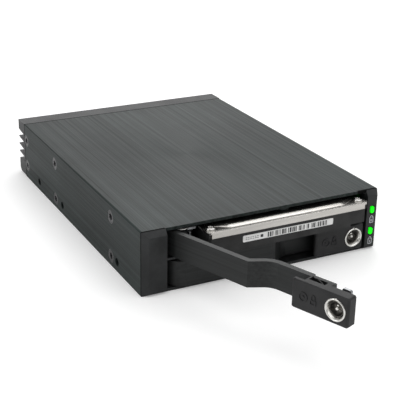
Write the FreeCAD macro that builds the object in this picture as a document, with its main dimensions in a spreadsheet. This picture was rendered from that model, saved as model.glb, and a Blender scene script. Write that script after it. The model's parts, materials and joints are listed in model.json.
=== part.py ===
import FreeCAD, Part
import os
import re

import Sketcher
from FreeCAD import Placement, Rotation, Vector

# Hot swap drive cage for two 2.5 inch drives in one 3.5 inch bay.
# Frame: X to the right, Y to the rear, Z up; the origin is the middle of the
# tray's underside.  Each door has a keyed lock and pushes its drive out.
# The doors are drawn shut; the upper one is then swung open about its pin.

os.makedirs("parts", exist_ok=True)
doc = FreeCAD.newDocument("hot_swap_drive_cage")

# ---------------------------------------------------------------- sizes

SIZES = [
    ("shell_width", 101.6, "width over the side walls"),
    ("shell_height", 25.4, "height over tray and cover"),
    ("shell_depth", 132.0, "length of the cover"),
    ("sheet", 1.2, "wall of the cover and of the tray"),
    ("cover_bend", 0.6, "outer radius of the cover's bends"),
    ("shelf_sheet", 0.8, "sheet between the two bays"),
    ("shelf_gap", 0.3, "shelf to the front edge and to the left guide"),
    ("flange_height", 5.3, "height of the tray's side flanges above its plate"),
    ("flange_front", 14.0, "front end of the flanges, from the front edge"),
    ("flange_back", 10.0, "rear end of the flanges, ahead of the cover's rear edge"),
    ("drive_width", 69.85, "2.5 inch drive"),
    ("drive_length", 100.35, "2.5 inch drive"),
    ("drive_thickness", 9.5, "2.5 inch drive"),
    ("drive_side", 2.25, "drives to the right bezel's inner side"),
    ("drive_side_gap", 0.35, "drive to the guide walls on the right"),
    ("drive_left_gap", 0.25, "drive to the guide wall on the left"),
    ("drive_floor_gap", 0.3, "under a drive"),
    ("drive_home", 6.9, "front of a seated drive, behind the front edge"),
    ("drive_out", 11.9, "how far a drive comes out while its door opens"),
    ("guide_wall", 1.15, "guide wall beside the drives"),
    ("guide_web", 2.0, "outer wall of a guide"),
    ("guide_flange", 0.9, "top and bottom wall of a guide, and the hinge ears"),
    ("flange_gap", 0.2, "guides above the tray's flanges"),
    ("left_guide_front", 14.0, "front end of the left guide"),
    ("right_guide_front", 9.4, "front end of the right guide"),
    ("guide_rear", 100.0, "rear end of both guides"),
    ("hinge_side", 6.8, "hinge pin, left of the drives"),
    ("hinge_y", 4.9, "hinge pin, behind the front edge"),
    ("pin_radius", 1.2, "hinge pin"),
    ("pin_play", 0.05, "radial play of the doors on the pin"),
    ("barrel_radius", 3.2, "hinge barrel and ears"),
    ("barrel_foot", 1.1, "barrel bottom above the bay floor"),
    ("barrel_drop", 2.3, "barrel top below the bay's ceiling"),
    ("door_gap", 0.25, "door to the bay's floor and ceiling"),
    ("door_proud", 1.6, "door face ahead of the front edge"),
    ("tail_trim", 1.2, "end of the rolled edge, ahead of the pin"),
    ("arm_lift", 0.25, "arm above the latch block's underside"),
    ("arm_drop", 0.5, "arm below the latch block's top"),
    ("arm_sheet", 2.2, "thickness of the door arm"),
    ("arm_tip_sheet", 1.4, "thickness of the arm behind the block"),
    ("crease_reach", 37.3, "crease where the finger recess begins, from the pin"),
    ("recess_depth", 5.9, "depth of the finger recess"),
    ("recess_round", 7.0, "radius in the finger recess"),
    ("arm_step_back", 18.6, "where the arm gets thinner, from the block's right end"),
    ("arm_end_back", 9.6, "right end of the arm, from the block's right end"),
    ("block_length", 22.3, "length of the latch block and its lip"),
    ("block_gap", 0.9, "latch block to the right bezel"),
    ("block_depth", 4.0, "depth of the latch block at its right end"),
    ("block_round", 1.0, "rounding of the block's upright front edges"),
    ("block_bevel", 0.5, "bevel of the block's long front edges"),
    ("lip_sheet", 1.6, "thickness of the lip"),
    ("lip_length", 4.0, "length of the lip"),
    ("pocket_width", 6.3, "width of the pocket in the block's top"),
    ("pocket_back", 11.4, "right wall of the pocket, from the block's right end"),
    ("pocket_front", 2.9, "front wall of the pocket, behind the door face"),
    ("pocket_depth", 4.4, "depth of the pocket"),
    ("leaf_sheet", 0.4, "detent leaf"),
    ("block_screw_far", 16.2, "left block screw, from the block's right end"),
    ("block_screw_near", 12.0, "right block screw, from the block's right end"),
    ("block_screw_rise", 3.0, "block screws above the bay floor"),
    ("lock_inset", 4.9, "lock axis, from the block's right end"),
    ("lock_ring", 4.0, "radius of the lock's ring"),
    ("ring_proud", 0.5, "ring ahead of the block"),
    ("lock_tube", 3.2, "radius of the lock's sleeve"),
    ("lock_bore", 2.75, "bore of the sleeve"),
    ("tube_play", 0.02, "radial play of the sleeve in the block"),
    ("rotor_lip", 0.2, "rotor ahead of the block"),
    ("rotor_rim", 0.5, "rim around the rotor's bowl"),
    ("bowl_depth", 3.0, "bowl in the rotor"),
    ("post_foot", 0.95, "foot of the pointed post in the bowl"),
    ("post_tip", 0.3, "tip of the post"),
    ("post_length", 2.4, "post"),
    ("spindle", 1.3, "width of the square spindle behind the rotor"),
    ("spindle_play", 0.02, "play of the cam on its spindle, each side"),
    ("spindle_end", 0.3, "spindle behind the cam"),
    ("ring_notch", 0.9, "width of the notch in the ring"),
    ("ring_bevel", 0.3, "bevel of the ring's front edge"),
    ("rotor_play", 0.05, "radial play of the rotor in the sleeve"),
    ("lock_boss", 3.7, "radius of the boss behind the block"),
    ("boss_length", 1.8, "length of the boss"),
    ("cam_sheet", 1.0, "lock cam"),
    ("cam_reach", 4.9, "cam tip from the lock axis"),
    ("cam_width", 3.4, "width of the cam"),
    ("cam_foot_round", 1.5, "rounding of the cam's foot"),
    ("cam_tip_round", 0.7, "rounding of the cam's tip"),
    ("cam_gap", 0.1, "cam behind the boss"),
    ("strike_length", 1.8, "strikes, inward from the right bezel"),
    ("strike_front", 2.7, "front of the strikes, behind the front edge"),
    ("strike_sheet", 1.0, "thickness of the strikes"),
    ("strike_root", 0.9, "wall that carries the strikes"),
    ("strike_height", 4.4, "height of the strikes"),
    ("lug_reach", 3.6, "ejector lug from the hinge pin"),
    ("lug_angle", 50.0, "lug direction from +X, door shut"),
    ("lug_pin", 0.6, "radius of the lug's pin"),
    ("lug_pad", 1.3, "radius of the lug"),
    ("lug_sheet", 0.8, "thickness of the lug"),
    ("fork_play", 0.5, "fork to the lug's pin, each side"),
    ("ejector_sheet", 0.8, "sheet of the ejectors"),
    ("ejector_gap", 0.3, "ejector to the guide wall and to the drive"),
    ("ejector_foot", 1.4, "ejector bottom above the bay floor"),
    ("ejector_drop", 1.2, "ejector top below the bay's ceiling"),
    ("tine_width", 1.0, "fork tines"),
    ("fork_start", 1.6, "left ends of the tines, from the hinge pin"),
    ("fork_end", 0.35, "end of the fork's slot beyond the lug's reach"),
    ("hook_length", 4.6, "right end of the rear hook, from the drive's left side"),
    ("bezel_proud", 1.6, "bezels ahead of the front edge"),
    ("bezel_drop", 0.1, "bezels below the cover's top"),
    ("tail_gap", 1.3, "left bezel to the doors"),
    ("right_bezel_width", 5.3, "width of the right bezel"),
    ("bezel_bevel_top", 2.3, "height of the bezels' top bevel"),
    ("bezel_bevel_side", 2.5, "width of the bezels' side bevel"),
    ("bezel_bevel_lights", 0.7, "width of the right bezel's side bevel"),
    ("bezel_bevel_foot", 1.0, "height of the bezels' bottom bevel"),
    ("bezel_tongue", 3.4, "thickness of the left bezel's tongue"),
    ("bezel_back", 1.6, "bezel plate behind the front edge"),
    ("bezel_gusset", 0.9, "corner gusset under the cover on the right bezel"),
    ("light_side", 2.8, "status lights, from the right side"),
    ("light_low_z", 8.0, "lower status light"),
    ("light_pitch", 9.1, "between the status lights"),
    ("light_width", 1.7, "status light"),
    ("light_height", 2.8, "status light"),
    ("light_play", 0.1, "status light in its window"),
    ("light_proud", 0.15, "status light ahead of the bezel"),
    ("light_board_foot", 2.0, "light board above the tray and below the cover"),
    ("board_sheet", 1.2, "light board"),
    ("socket_width", 41.5, "drive socket"),
    ("socket_height", 4.8, "drive socket"),
    ("socket_side", 36.95, "middle of the drive sockets, from the drive's right side"),
    ("socket_above_drive", 3.6, "socket axis above the drive's underside"),
    ("socket_slot_width", 34.2, "slot in a drive socket"),
    ("socket_slot_height", 2.0, "slot in a drive socket"),
    ("socket_slot_depth", 5.2, "slot in a drive socket"),
    ("socket_depth", 10.8, "drive socket from its front to the backplane"),
    ("tongue_side_play", 0.3, "drive's tongue in the socket's slot, each end"),
    ("plug_depth", 5.0, "connector recess in a drive"),
    ("plug_play", 0.7, "recess around the socket, each side"),
    ("plug_gap", 0.35, "seated drive to the socket's front"),
    ("tongue_sheet", 1.2, "tongue of the drive's connector"),
    ("backplane_sheet", 1.6, "backplane"),
    ("backplane_side", 2.5, "backplane to the cover's side walls"),
    ("backplane_gap", 0.3, "backplane under the cover"),
    ("air_slot_low", 5.0, "foot of the backplane's air slots above the tray"),
    ("air_slot_high", 6.0, "head of the air slots below the cover"),
    ("air_slot_side", 6.0, "air slots from the backplane's ends"),
    ("air_slot_left", 16.0, "left air slot"),
    ("air_slot_right", 12.0, "right air slot"),
    ("port_length", 10.0, "rear ports"),
    ("port_height", 5.0, "rear ports"),
    ("port_wall", 0.9, "rear ports"),
    ("port_tongue", 1.0, "contact tongue of the rear ports"),
    ("port_tongue_gap", 0.8, "contact tongue to the shroud's ends"),
    ("port_tongue_back", 0.8, "contact tongue behind the port's mouth"),
    ("port_key", 1.0, "key at the end of a contact tongue"),
    ("data_port_width", 14.0, "rear data ports"),
    ("power_port_width", 23.0, "rear power port"),
    ("port_gap", 1.6, "between the rear ports"),
    ("cap_depth", 8.4, "rear cap behind the cover"),
    ("cap_foot", 0.4, "rear cap above the tray's underside"),
    ("cap_wall", 1.2, "wall behind the louvres"),
    ("louvre_low_z", 6.6, "top of the cap's bottom block"),
    ("louvre_pitch", 3.667, "louvre spacing"),
    ("louvre_tip", 0.4, "louvre edge at the rear"),
    ("louvre_root", 1.32, "louvre at the wall"),
    ("louvre_slots", 4, "gaps in the louvres"),
    ("cap_bevel", 1.6, "bevel under the cap's rear edge"),
    ("window_frame", 30.0, "half width of the solid middle of the cap"),
    ("window_half", 27.5, "half width of the port window"),
    ("window_low_z", 4.6, "port window"),
    ("window_high_z", 20.8, "port window"),
    ("cap_tongue", 2.2, "thickness of the cap's side tongues"),
    ("cap_tongue_length", 8.0, "length of the cap's side tongues"),
    ("screw_head", 2.8, "head radius of the side screws"),
    ("screw_shank", 1.45, "shank radius of the side screws"),
    ("screw_play", 0.05, "radial play of the side screws"),
    ("screw_length", 4.4, "length of the side screws"),
    ("screw_front_y", 28.4, "front side screws"),
    ("screw_mid_y", 90.8, "middle side screws"),
    ("screw_rear_back", 2.7, "rear side screws, ahead of the cover's rear edge"),
    ("screw_low_z", 4.0, "lower side screws"),
    ("screw_high_drop", 5.2, "upper side screws, below the cover's top"),
    ("screw_rear_low_z", 6.1, "lower rear screws"),
    ("screw_rear_drop", 7.3, "upper rear screws, below the cover's top"),
    ("side_hole", 1.6, "radius of the side mounting holes"),
    ("side_hole_z", 4.0, "height of the side mounting holes"),
    ("side_hole_first", 22.5, "first side hole behind the front edge"),
    ("side_hole_pitch_a", 60.0, "first to second side hole"),
    ("side_hole_pitch_b", 30.0, "second to third side hole"),
    ("relief", 4.0, "height of the guides' relief behind the side holes"),
    ("small_screw", 0.9, "shank radius of the block screws"),
    ("small_head", 1.6, "head radius of the block screws"),
    ("small_head_height", 0.6, "head of the block screws"),
    ("small_screw_length", 3.6, "length of the block screws in the arm and block"),
    ("lid_sheet", 0.8, "drive's lid"),
    ("lid_skirt", 2.5, "front skirt of the drive's lid"),
    ("skirt_sheet", 0.4, "front skirt of the drive's lid"),
    ("lid_rim", 1.5, "rim around the raised middle of the lid"),
    ("lid_rise", 0.5, "raised middle of the lid above its rim"),
    ("lid_corner", 8.8, "cut corner of the raised middle, across"),
    ("lid_corner_back", 5.2, "cut corner of the raised middle, to the rear"),
    ("lid_corner_round", 3.2, "rounding of the raised middle's corners"),
    ("lid_shoulder", 1.9, "width of the sloping shoulder around the raised middle"),
    ("lid_shoulder_drop", 0.42, "drop of the shoulder"),
    ("casting_step", 7.6, "width of the step in the casting's right front corner"),
    ("casting_step_depth", 1.8, "depth of the step"),
    ("tab_width", 3.8, "tab under the cover's front edge"),
    ("tab_drop", 0.6, "tab below the cover"),
    ("drive_round", 1.5, "rounding of the drive's upright edges"),
    ("drive_board_sheet", 0.8, "drive's circuit board"),
    ("drive_screw_head", 1.75, "head radius of the lid screws"),
    ("drive_screw_shank", 0.8, "shank radius of the lid screws"),
    ("drive_screw_length", 2.6, "length of the lid screws"),
    ("drive_screw_head_height", 0.7, "head of the lid screws"),
    ("drive_screw_inset", 2.6, "lid screws from the drive's sides"),
    ("drive_screw_back", 3.5, "lid screws from the drive's ends"),
    ("drive_board_inset", 2.5, "circuit board from the drive's sides"),
    ("drive_board_start", 34.0, "circuit board from the drive's front"),
    ("board_play", 0.1, "circuit board in its recess"),
    ("open_angle", 68.8, "how far the upper door stands open"),
]

# Places that several pieces share, worked out in the sheet from the sizes above.
PLACES = [
    ("front", "-shell_depth / 2"),
    ("rear", "shell_depth / 2"),
    ("half", "shell_width / 2"),
    ("inner_half", "half - sheet"),
    ("ceiling", "shell_height - sheet"),
    ("bay_height", "(shell_height - 2 * sheet - shelf_sheet) / 2"),
    ("pitch", "bay_height + shelf_sheet"),
    ("door_face", "front - door_proud"),
    ("door_low", "sheet + door_gap"),
    ("door_height", "bay_height - 2 * door_gap"),
    ("lock_z", "sheet + bay_height / 2"),
    ("barrel_top", "bay_height - barrel_drop"),
    ("ejector_top", "bay_height - ejector_drop"),
    ("arm_low", "door_low + arm_lift"),
    ("arm_height", "door_height - arm_lift - arm_drop"),
    ("right_bezel_inner", "half - right_bezel_width"),
    ("drive_right", "right_bezel_inner - drive_side"),
    ("drive_left", "drive_right - drive_width"),
    ("hinge_x", "drive_left - hinge_side"),
    ("roll_radius", "hinge_y + door_proud"),
    ("left_bezel_inner", "hinge_x - roll_radius - tail_gap"),
    ("crease_x", "hinge_x + crease_reach"),
    ("block_right", "right_bezel_inner - block_gap"),
    ("block_left", "block_right - block_length"),
    ("lip_root", "block_left + lip_length"),
    ("arm_step_x", "block_right - arm_step_back"),
    ("arm_end_x", "block_right - arm_end_back"),
    ("pocket_right", "block_right - pocket_back"),
    ("pocket_left", "pocket_right - pocket_width"),
    ("screw_left_x", "block_right - block_screw_far"),
    ("screw_right_x", "block_right - block_screw_near"),
    ("lock_x", "block_right - lock_inset"),
    ("light_x", "half - light_side"),
    ("recess_back", "door_face + recess_depth"),
    ("bend_shift", "arm_sheet * (sqrt(2) - 1)"),
    ("block_rear", "door_face + block_depth"),
    ("boss_rear", "block_rear + boss_length"),
    ("cam_front", "boss_rear + cam_gap"),
    ("arm_tip_rear", "recess_back + arm_tip_sheet"),
    ("wall_left", "drive_left - drive_left_gap"),
    ("wall_right", "drive_right + drive_side_gap"),
    ("drive_front", "front + drive_home"),
    ("drive_rear", "drive_front + drive_length"),
    ("drive_low", "sheet + drive_floor_gap"),
    ("rim_top", "drive_low + drive_thickness - lid_rise"),
    ("socket_z", "drive_low + socket_above_drive"),
    ("socket_middle", "drive_right - socket_side"),
    ("plug_floor", "drive_rear - plug_depth"),
    ("socket_front", "plug_floor + plug_gap"),
    ("board_front", "socket_front + socket_depth"),
    ("board_rear", "board_front + backplane_sheet"),
    ("backplane_half", "inner_half - backplane_side"),
    ("pin_y", "front + hinge_y"),
    ("flange_rear", "shell_depth - flange_back"),
    ("screw_rear_y", "shell_depth - screw_rear_back"),
    ("screw_high_z", "shell_height - screw_high_drop"),
    ("screw_rear_high_z", "shell_height - screw_rear_drop"),
    ("flange_top", "sheet + flange_height"),
    ("web_right", "wall_left - guide_wall - ejector_gap"),
    ("web_left", "web_right - ejector_sheet"),
    ("hook_front", "drive_rear + ejector_gap"),
    ("hook_end", "drive_left + hook_length"),
    ("lug_x", "hinge_x + lug_reach * cos(lug_angle * 1deg)"),
    ("lug_y", "pin_y + lug_reach * sin(lug_angle * 1deg)"),
    ("lug_travel", "lug_y - pin_y + lug_reach * sin((open_angle - lug_angle) * 1deg)"),
    ("fork_slot", "lug_pin + fork_play"),
    ("fork_left", "hinge_x + fork_start"),
    ("slot_end", "hinge_x + lug_reach + lug_pin + fork_end"),
    ("fork_front", "lug_y - fork_slot - tine_width"),
    ("fork_rear", "lug_y + fork_slot + tine_width"),
]

NAMES = [row[0] for row in SIZES] + [row[0] for row in PLACES]
KNOWN = re.compile(r"\b(" + "|".join(sorted(NAMES, key=len, reverse=True)) + r")\b")

sheet = doc.addObject("Spreadsheet::Sheet", "Sizes")
for row, (alias, value, note) in enumerate(SIZES, 1):
    sheet.set("A%d" % row, note)
    sheet.set("B%d" % row, str(value))
    sheet.setAlias("B%d" % row, alias)
for row, (alias, text) in enumerate(PLACES, len(SIZES) + 2):
    sheet.set("A%d" % row, alias.replace("_", " "))
    sheet.set("B%d" % row, "=" + text)
    sheet.setAlias("B%d" % row, alias)
doc.recompute()


def formula(text):
    """Give a formula of the sheet's names as a FreeCAD expression."""
    return KNOWN.sub(r"Sizes.\1", str(text))


# Screw heads and their hidden shanks are plain prisms with this many sides.
HEAD_SIDES = 12
SHANK_SIDES = 6

# An edge within this many millimetres of a place is the edge that is meant.
TOUCH = 1e-3


# ---------------------------------------------------------------- builders

def box(name, x_range, y_range, z_range):
    """Make a Part::Box between the given formulas."""
    item = doc.addObject("Part::Box", name)
    for side, base, (low, high) in (("Length", "x", x_range), ("Width", "y", y_range),
                                    ("Height", "z", z_range)):
        item.setExpression(side, formula("(%s) - (%s)" % (high, low)))
        item.setExpression("Placement.Base." + base, formula(low))
    return item


def rod(name, radius, length, start, turn=Rotation()):
    """Make a Part::Cylinder from a start point, along Z or turned."""
    item = doc.addObject("Part::Cylinder", name)
    item.Placement.Rotation = turn
    item.setExpression("Radius", formula(radius))
    item.setExpression("Height", formula(length))
    for base, text in zip("xyz", start):
        item.setExpression("Placement.Base." + base, formula(text))
    return item


def prism(name, sides, radius, length, start, turn=Rotation()):
    """Make a Part::Prism with a regular base, along Z or turned."""
    item = doc.addObject("Part::Prism", name)
    item.Placement.Rotation = turn
    item.Polygon = sides
    item.setExpression("Circumradius", formula(radius))
    item.setExpression("Height", formula(length))
    for base, text in zip("xyz", start):
        item.setExpression("Placement.Base." + base, formula(text))
    return item


def head_cone(name, ends, turn):
    """Loft a many-sided countersunk form between two (radius, centre) ends."""
    rings = []
    for number, (radius, centre) in enumerate(ends):
        ring = doc.addObject("Part::RegularPolygon", "%s_ring_%d" % (name, number))
        ring.Placement.Rotation = turn
        ring.Polygon = HEAD_SIDES
        ring.setExpression("Circumradius", formula(radius))
        for base, text in zip("xyz", centre):
            ring.setExpression("Placement.Base." + base, formula(text))
        rings.append(ring)
    item = doc.addObject("Part::Loft", name)
    item.Sections = rings
    item.Solid = True
    item.Ruled = True
    return item


def cone(name, radii, length, start, turn=Rotation()):
    """Make a Part::Cone from a start point, along Z or turned."""
    item = doc.addObject("Part::Cone", name)
    item.Placement.Rotation = turn
    item.setExpression("Radius1", formula(radii[0]))
    item.setExpression("Radius2", formula(radii[1]))
    item.setExpression("Height", formula(length))
    for base, text in zip("xyz", start):
        item.setExpression("Placement.Base." + base, formula(text))
    return item


def fuse(name, items):
    """Join objects into one."""
    result = doc.addObject("Part::MultiFuse", name)
    result.Shapes = items
    result.Refine = True
    return result


def cut(name, base, tools):
    """Cut tools out of a base."""
    result = doc.addObject("Part::Cut", name)
    result.Base = base
    result.Tool = tools[0] if len(tools) == 1 else group(name + "_tools", tools)
    result.Refine = True
    return result


def group(name, items):
    """Keep separate solids together in one compound."""
    result = doc.addObject("Part::Compound", name)
    result.Links = items
    return result


def both_sides(name, items):
    """Repeat the left side's objects on the right side."""
    left = group(name + "_left", items)
    right = doc.addObject("Part::Mirroring", name + "_right")
    right.Source = left
    right.Base = Vector(0, 0, 0)
    right.Normal = Vector(1, 0, 0)
    return group(name, [left, right])


def new_body(name):
    """Start a PartDesign body."""
    return doc.addObject("PartDesign::Body", name)


def origin_feature(body, role):
    """Find an origin plane or axis of a body."""
    return [item for item in body.Origin.OriginFeatures if item.Role == role][0]


def new_sketch(body, plane, offset):
    """Attach an empty sketch to one of the body's origin planes."""
    sketch = body.newObject("Sketcher::SketchObject", body.Name + "_sketch")
    sketch.AttachmentSupport = (origin_feature(body, plane), [""])
    sketch.MapMode = "FlatFace"
    sketch.setExpression("AttachmentOffset.Base.z", formula(offset))
    return sketch


def hold_point(sketch, geometry, point, across, along, guess):
    """Hold a sketch point at formulas measured from the origin."""
    for kind, text, value in (("DistanceX", across, guess.x), ("DistanceY", along, guess.y)):
        limit = Sketcher.Constraint(kind, -1, 1, geometry, point, value)
        number = sketch.addConstraint(limit)
        sketch.setExpression("Constraints[%d]" % number, formula(text))


def add_polygon(sketch, corners):
    """Draw a closed polygon whose corners are held by formulas."""
    first = sketch.GeometryCount
    count = len(corners)
    guess = [Vector(evaluate(across), evaluate(along), 0) for across, along in corners]
    for step in range(count):
        sketch.addGeometry(Part.LineSegment(guess[step], guess[(step + 1) % count]), False)
    for step in range(count):
        following = first + (step + 1) % count
        sketch.addConstraint(Sketcher.Constraint("Coincident", first + step, 2, following, 1))
    for step, (across, along) in enumerate(corners):
        hold_point(sketch, first + step, 1, across, along, guess[step])


def add_circle(sketch, centre, radius):
    """Draw a circle held by formulas."""
    guess = Vector(evaluate(centre[0]), evaluate(centre[1]), 0)
    ring = Part.Circle(guess, Vector(0, 0, 1), evaluate(radius))
    index = sketch.addGeometry(ring, False)
    hold_point(sketch, index, 3, centre[0], centre[1], guess)
    number = sketch.addConstraint(Sketcher.Constraint("Radius", index, evaluate(radius)))
    sketch.setExpression("Constraints[%d]" % number, formula(radius))


def shank_hole(centre, radius):
    """Corners of a plain hole for a small screw's shank."""
    return [("(%s) + (%s) * cos(%d * 360deg / %d)" % (centre[0], radius, step, SHANK_SIDES),
             "(%s) + (%s) * sin(%d * 360deg / %d)" % (centre[1], radius, step, SHANK_SIDES))
            for step in range(SHANK_SIDES)]


def evaluate(text):
    """Work a formula out as a number."""
    return float(sheet.evalExpression(formula(text)))


def rectangle(x_range, y_range):
    """Corners of a rectangle between formulas."""
    return [(x_range[0], y_range[0]), (x_range[1], y_range[0]),
            (x_range[1], y_range[1]), (x_range[0], y_range[1])]


def pad(body, sketch, length, reverse=False):
    """Extrude a sketch into the body."""
    feature = body.newObject("PartDesign::Pad", body.Name + "_pad")
    feature.Profile = sketch
    feature.setExpression("Length", formula(length))
    feature.Reversed = reverse
    doc.recompute()
    return feature


def pocket(body, sketch, length, reverse=False):
    """Cut a sketch out of the body and make sure that it took material away."""
    before = body.Shape.Volume
    feature = body.newObject("PartDesign::Pocket", body.Name + "_pocket")
    feature.Profile = sketch
    feature.setExpression("Length", formula(length))
    feature.Reversed = reverse
    doc.recompute()
    if not body.Shape.Volume < before:
        raise RuntimeError(feature.Name + " cuts nothing")
    return feature


def edges_near(shape, places, direction=None):
    """Name the edges that pass a place: straight ones along a direction, or round ones."""
    found = []
    for number, edge in enumerate(shape.Edges, 1):
        if direction is None:
            near = [place for place in places if isinstance(edge.Curve, Part.Circle)
                    and (edge.Curve.Center - place[0]).Length < TOUCH
                    and abs(edge.Curve.Radius - place[1]) < TOUCH]
        elif isinstance(edge.Curve, Part.Line):
            gaps = [place - edge.Vertexes[0].Point for place in places]
            near = [gap for gap in gaps if edge.Curve.Direction.cross(direction).Length < 1e-6
                    and (gap - direction * gap.dot(direction)).Length < TOUCH]
        else:
            near = []
        if near:
            found.append("Edge%d" % number)
    if not found:
        raise RuntimeError("no edge to dress")
    return found


def dress(body, kind, names, width):
    """Fillet or chamfer named edges of the body."""
    base = body.Tip
    feature = body.newObject("PartDesign::" + kind, body.Name + "_" + kind.lower())
    feature.Base = (base, names)
    feature.setExpression("Radius" if kind == "Fillet" else "Size", formula(width))
    doc.recompute()
    return feature


def round_off(body, direction, places, width, kind="Fillet"):
    """Dress the body's straight edges along a direction at places given as formulas."""
    points = [Vector(*[evaluate(text) for text in place]) for place in places]
    return dress(body, kind, edges_near(body.Tip.Shape, points, direction), width)


ALONG_X, ALONG_Y, ALONG_Z = Vector(1, 0, 0), Vector(0, 1, 0), Vector(0, 0, 1)
TO_FRONT = Rotation(ALONG_X, 90)
TO_LEFT = Rotation(ALONG_Y, -90)
NODES = []


def node(item, label, place=None):
    """Register a finished piece under its label; place is a placement formula."""
    item.Label = label
    if place is not None:
        item.setExpression("Placement", formula(place))
    NODES.append(item)
    return item


# Bays: name, where its fixed pieces go, its doors' pose, its ejector's pose.
LIFT = "vector(0; 0; pitch)"
STILL = "rotation(vector(0; 0; 1); 0)"
BAYS = (
    ("lower", None, None, None),
    ("upper", "placement(%s; %s)" % (LIFT, STILL),
     "placement(%s; rotation(vector(0; 0; 1); -open_angle); vector(hinge_x; pin_y; 0))" % LIFT,
     "placement(vector(0; -lug_travel; pitch); %s)" % STILL),
)


# ---------------------------------------------------------------- fasteners

SIDE_SCREWS = [
    ("screw_front_y", "screw_low_z"), ("screw_front_y", "screw_high_z"),
    ("screw_mid_y", "screw_low_z"), ("screw_mid_y", "screw_high_z"),
    ("screw_rear_y", "screw_rear_low_z"), ("screw_rear_y", "screw_rear_high_z"),
]
SIDE_HOLES = ["side_hole_first", "side_hole_first + side_hole_pitch_a",
              "side_hole_first + side_hole_pitch_a + side_hole_pitch_b"]


def side_screws():
    """Twelve countersunk side screws with flat heads flush with the cover."""
    screws = []
    for number, (along, high) in enumerate(SIDE_SCREWS):
        name = "side_screw_%d" % number
        head = head_cone(name + "_head", [
            ("screw_shank", ("sheet - half", "front + " + along, high)),
            ("screw_head", ("-half", "front + " + along, high))], TO_LEFT)
        shank = prism(name + "_shank", SHANK_SIDES, "screw_shank", "screw_length - sheet / 2",
                      ("screw_length - half", "front + " + along, high), TO_LEFT)
        screws.append(fuse(name, [head, shank]))
    node(both_sides("side_screw_set", screws), "side_screws")


def screw_seats(name):
    """Countersunk clearance holes for the side screws."""
    seats = []
    for number, (along, high) in enumerate(SIDE_SCREWS):
        part = "%s_%d" % (name, number)
        head = head_cone(part + "_sink", [
            ("screw_shank + screw_play", ("sheet - half", "front + " + along, high)),
            ("screw_head + screw_play", ("-half", "front + " + along, high))], TO_LEFT)
        shank = prism(part + "_bore", SHANK_SIDES, "screw_shank + screw_play",
                      "screw_length + sheet",
                      ("screw_length + sheet / 2 - half", "front + " + along, high), TO_LEFT)
        seats.append(fuse(part, [head, shank]))
    return both_sides(name, seats)


def mount_holes(name, behind):
    """Holes at the side mounting places: round in the cover, many-sided behind it."""
    holes = []
    for number, along in enumerate(SIDE_HOLES):
        part = "%s_%d" % (name, number)
        start = ("3 * sheet - half", "front + " + along, "side_hole_z")
        if behind:
            holes.append(prism(part, HEAD_SIDES, "side_hole + 2 * screw_play", "3 * sheet",
                               start, TO_LEFT))
        else:
            holes.append(rod(part, "side_hole", "4 * sheet", start, TO_LEFT))
    return both_sides(name, holes)


def hole_relief(name):
    """Long relief in a guide's outer wall, behind the side mounting holes."""
    room = box(name + "_room", ("sheet - half", "screw_length + sheet - half"),
               ("front + %s - relief" % SIDE_HOLES[0], "front + %s + relief" % SIDE_HOLES[-1]),
               ("sheet + guide_flange", "side_hole_z + relief / 2"))
    return both_sides(name, [room])


# ---------------------------------------------------------------- casing

def top_cover():
    """Brushed cover bent from one sheet, with a small tab under its front edge."""
    body = new_body("top_cover_body")
    sketch = new_sketch(body, "XZ_Plane", "-rear")
    add_polygon(sketch, [
        ("-half", "0"), ("-inner_half", "0"), ("-inner_half", "ceiling"),
        ("inner_half", "ceiling"), ("inner_half", "0"), ("half", "0"),
        ("half", "shell_height"), ("-half", "shell_height")])
    pad(body, sketch, "shell_depth")
    round_off(body, ALONG_Y, [("half", "0", "shell_height"), ("-half", "0", "shell_height")],
              "cover_bend")
    tab = new_sketch(body, "XZ_Plane", "-front - sheet")
    left = "(drive_left + drive_right - tab_width) / 2"
    right = "(drive_left + drive_right + tab_width) / 2"
    add_polygon(tab, [
        (left, "ceiling + sheet / 2"), (left, "ceiling"), (left + " + tab_drop", "ceiling - tab_drop"),
        (right + " - tab_drop", "ceiling - tab_drop"), (right, "ceiling"),
        (right, "ceiling + sheet / 2")])
    pad(body, tab, "sheet")
    holes = mount_holes("cover_holes", False)
    node(cut("cover", body, [screw_seats("cover_seats"), holes]), "top_cover")


def bottom_tray():
    """Steel tray: plate with a short flange up each side."""
    body = new_body("bottom_tray_body")
    sketch = new_sketch(body, "XY_Plane", "0")
    add_polygon(sketch, rectangle(("-inner_half", "inner_half"), ("front", "rear")))
    pad(body, sketch, "sheet")
    for side in (("-inner_half", "sheet - inner_half"), ("inner_half - sheet", "inner_half")):
        flange = new_sketch(body, "XY_Plane", "0")
        add_polygon(flange, rectangle(side, ("front + flange_front", "front + flange_rear")))
        pad(body, flange, "flange_top")
    holes = mount_holes("tray_holes", True)
    node(cut("tray", body, [screw_seats("tray_seats"), holes]), "bottom_tray")


def guide(name, sign, wall, hollow, start):
    """Hollow guide beside the drives; its outer wall steps in over the tray's flange."""
    body = new_body(name + "_body")
    sketch = new_sketch(body, "XZ_Plane", "-front - guide_rear")
    outer = "%d * inner_half" % sign
    step = "%d * (inner_half - sheet)" % sign
    add_polygon(sketch, [
        (wall, "sheet"), (step, "sheet"), (step, "flange_top + flange_gap"),
        (outer, "flange_top + flange_gap"), (outer, "ceiling"), (wall, "ceiling")])
    pad(body, sketch, "guide_rear - %s" % start)
    core = new_sketch(body, "XZ_Plane", "-front - guide_rear")
    add_polygon(core, rectangle(hollow, ("sheet + guide_flange", "ceiling - guide_flange")))
    pocket(body, core, "guide_rear - %s" % start, True)
    return body


def hinge_ear(name, low, high):
    """Ear around the hinge pin, reaching forward from the left guide."""
    tail = box(name + "_tail", ("hinge_x", "hinge_x + barrel_radius"),
               ("pin_y", "front + left_guide_front + guide_flange"), (low, high))
    head = rod(name + "_head", "barrel_radius", "(%s) - (%s)" % (high, low),
               ("hinge_x", "pin_y", low))
    return fuse(name, [tail, head])


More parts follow.
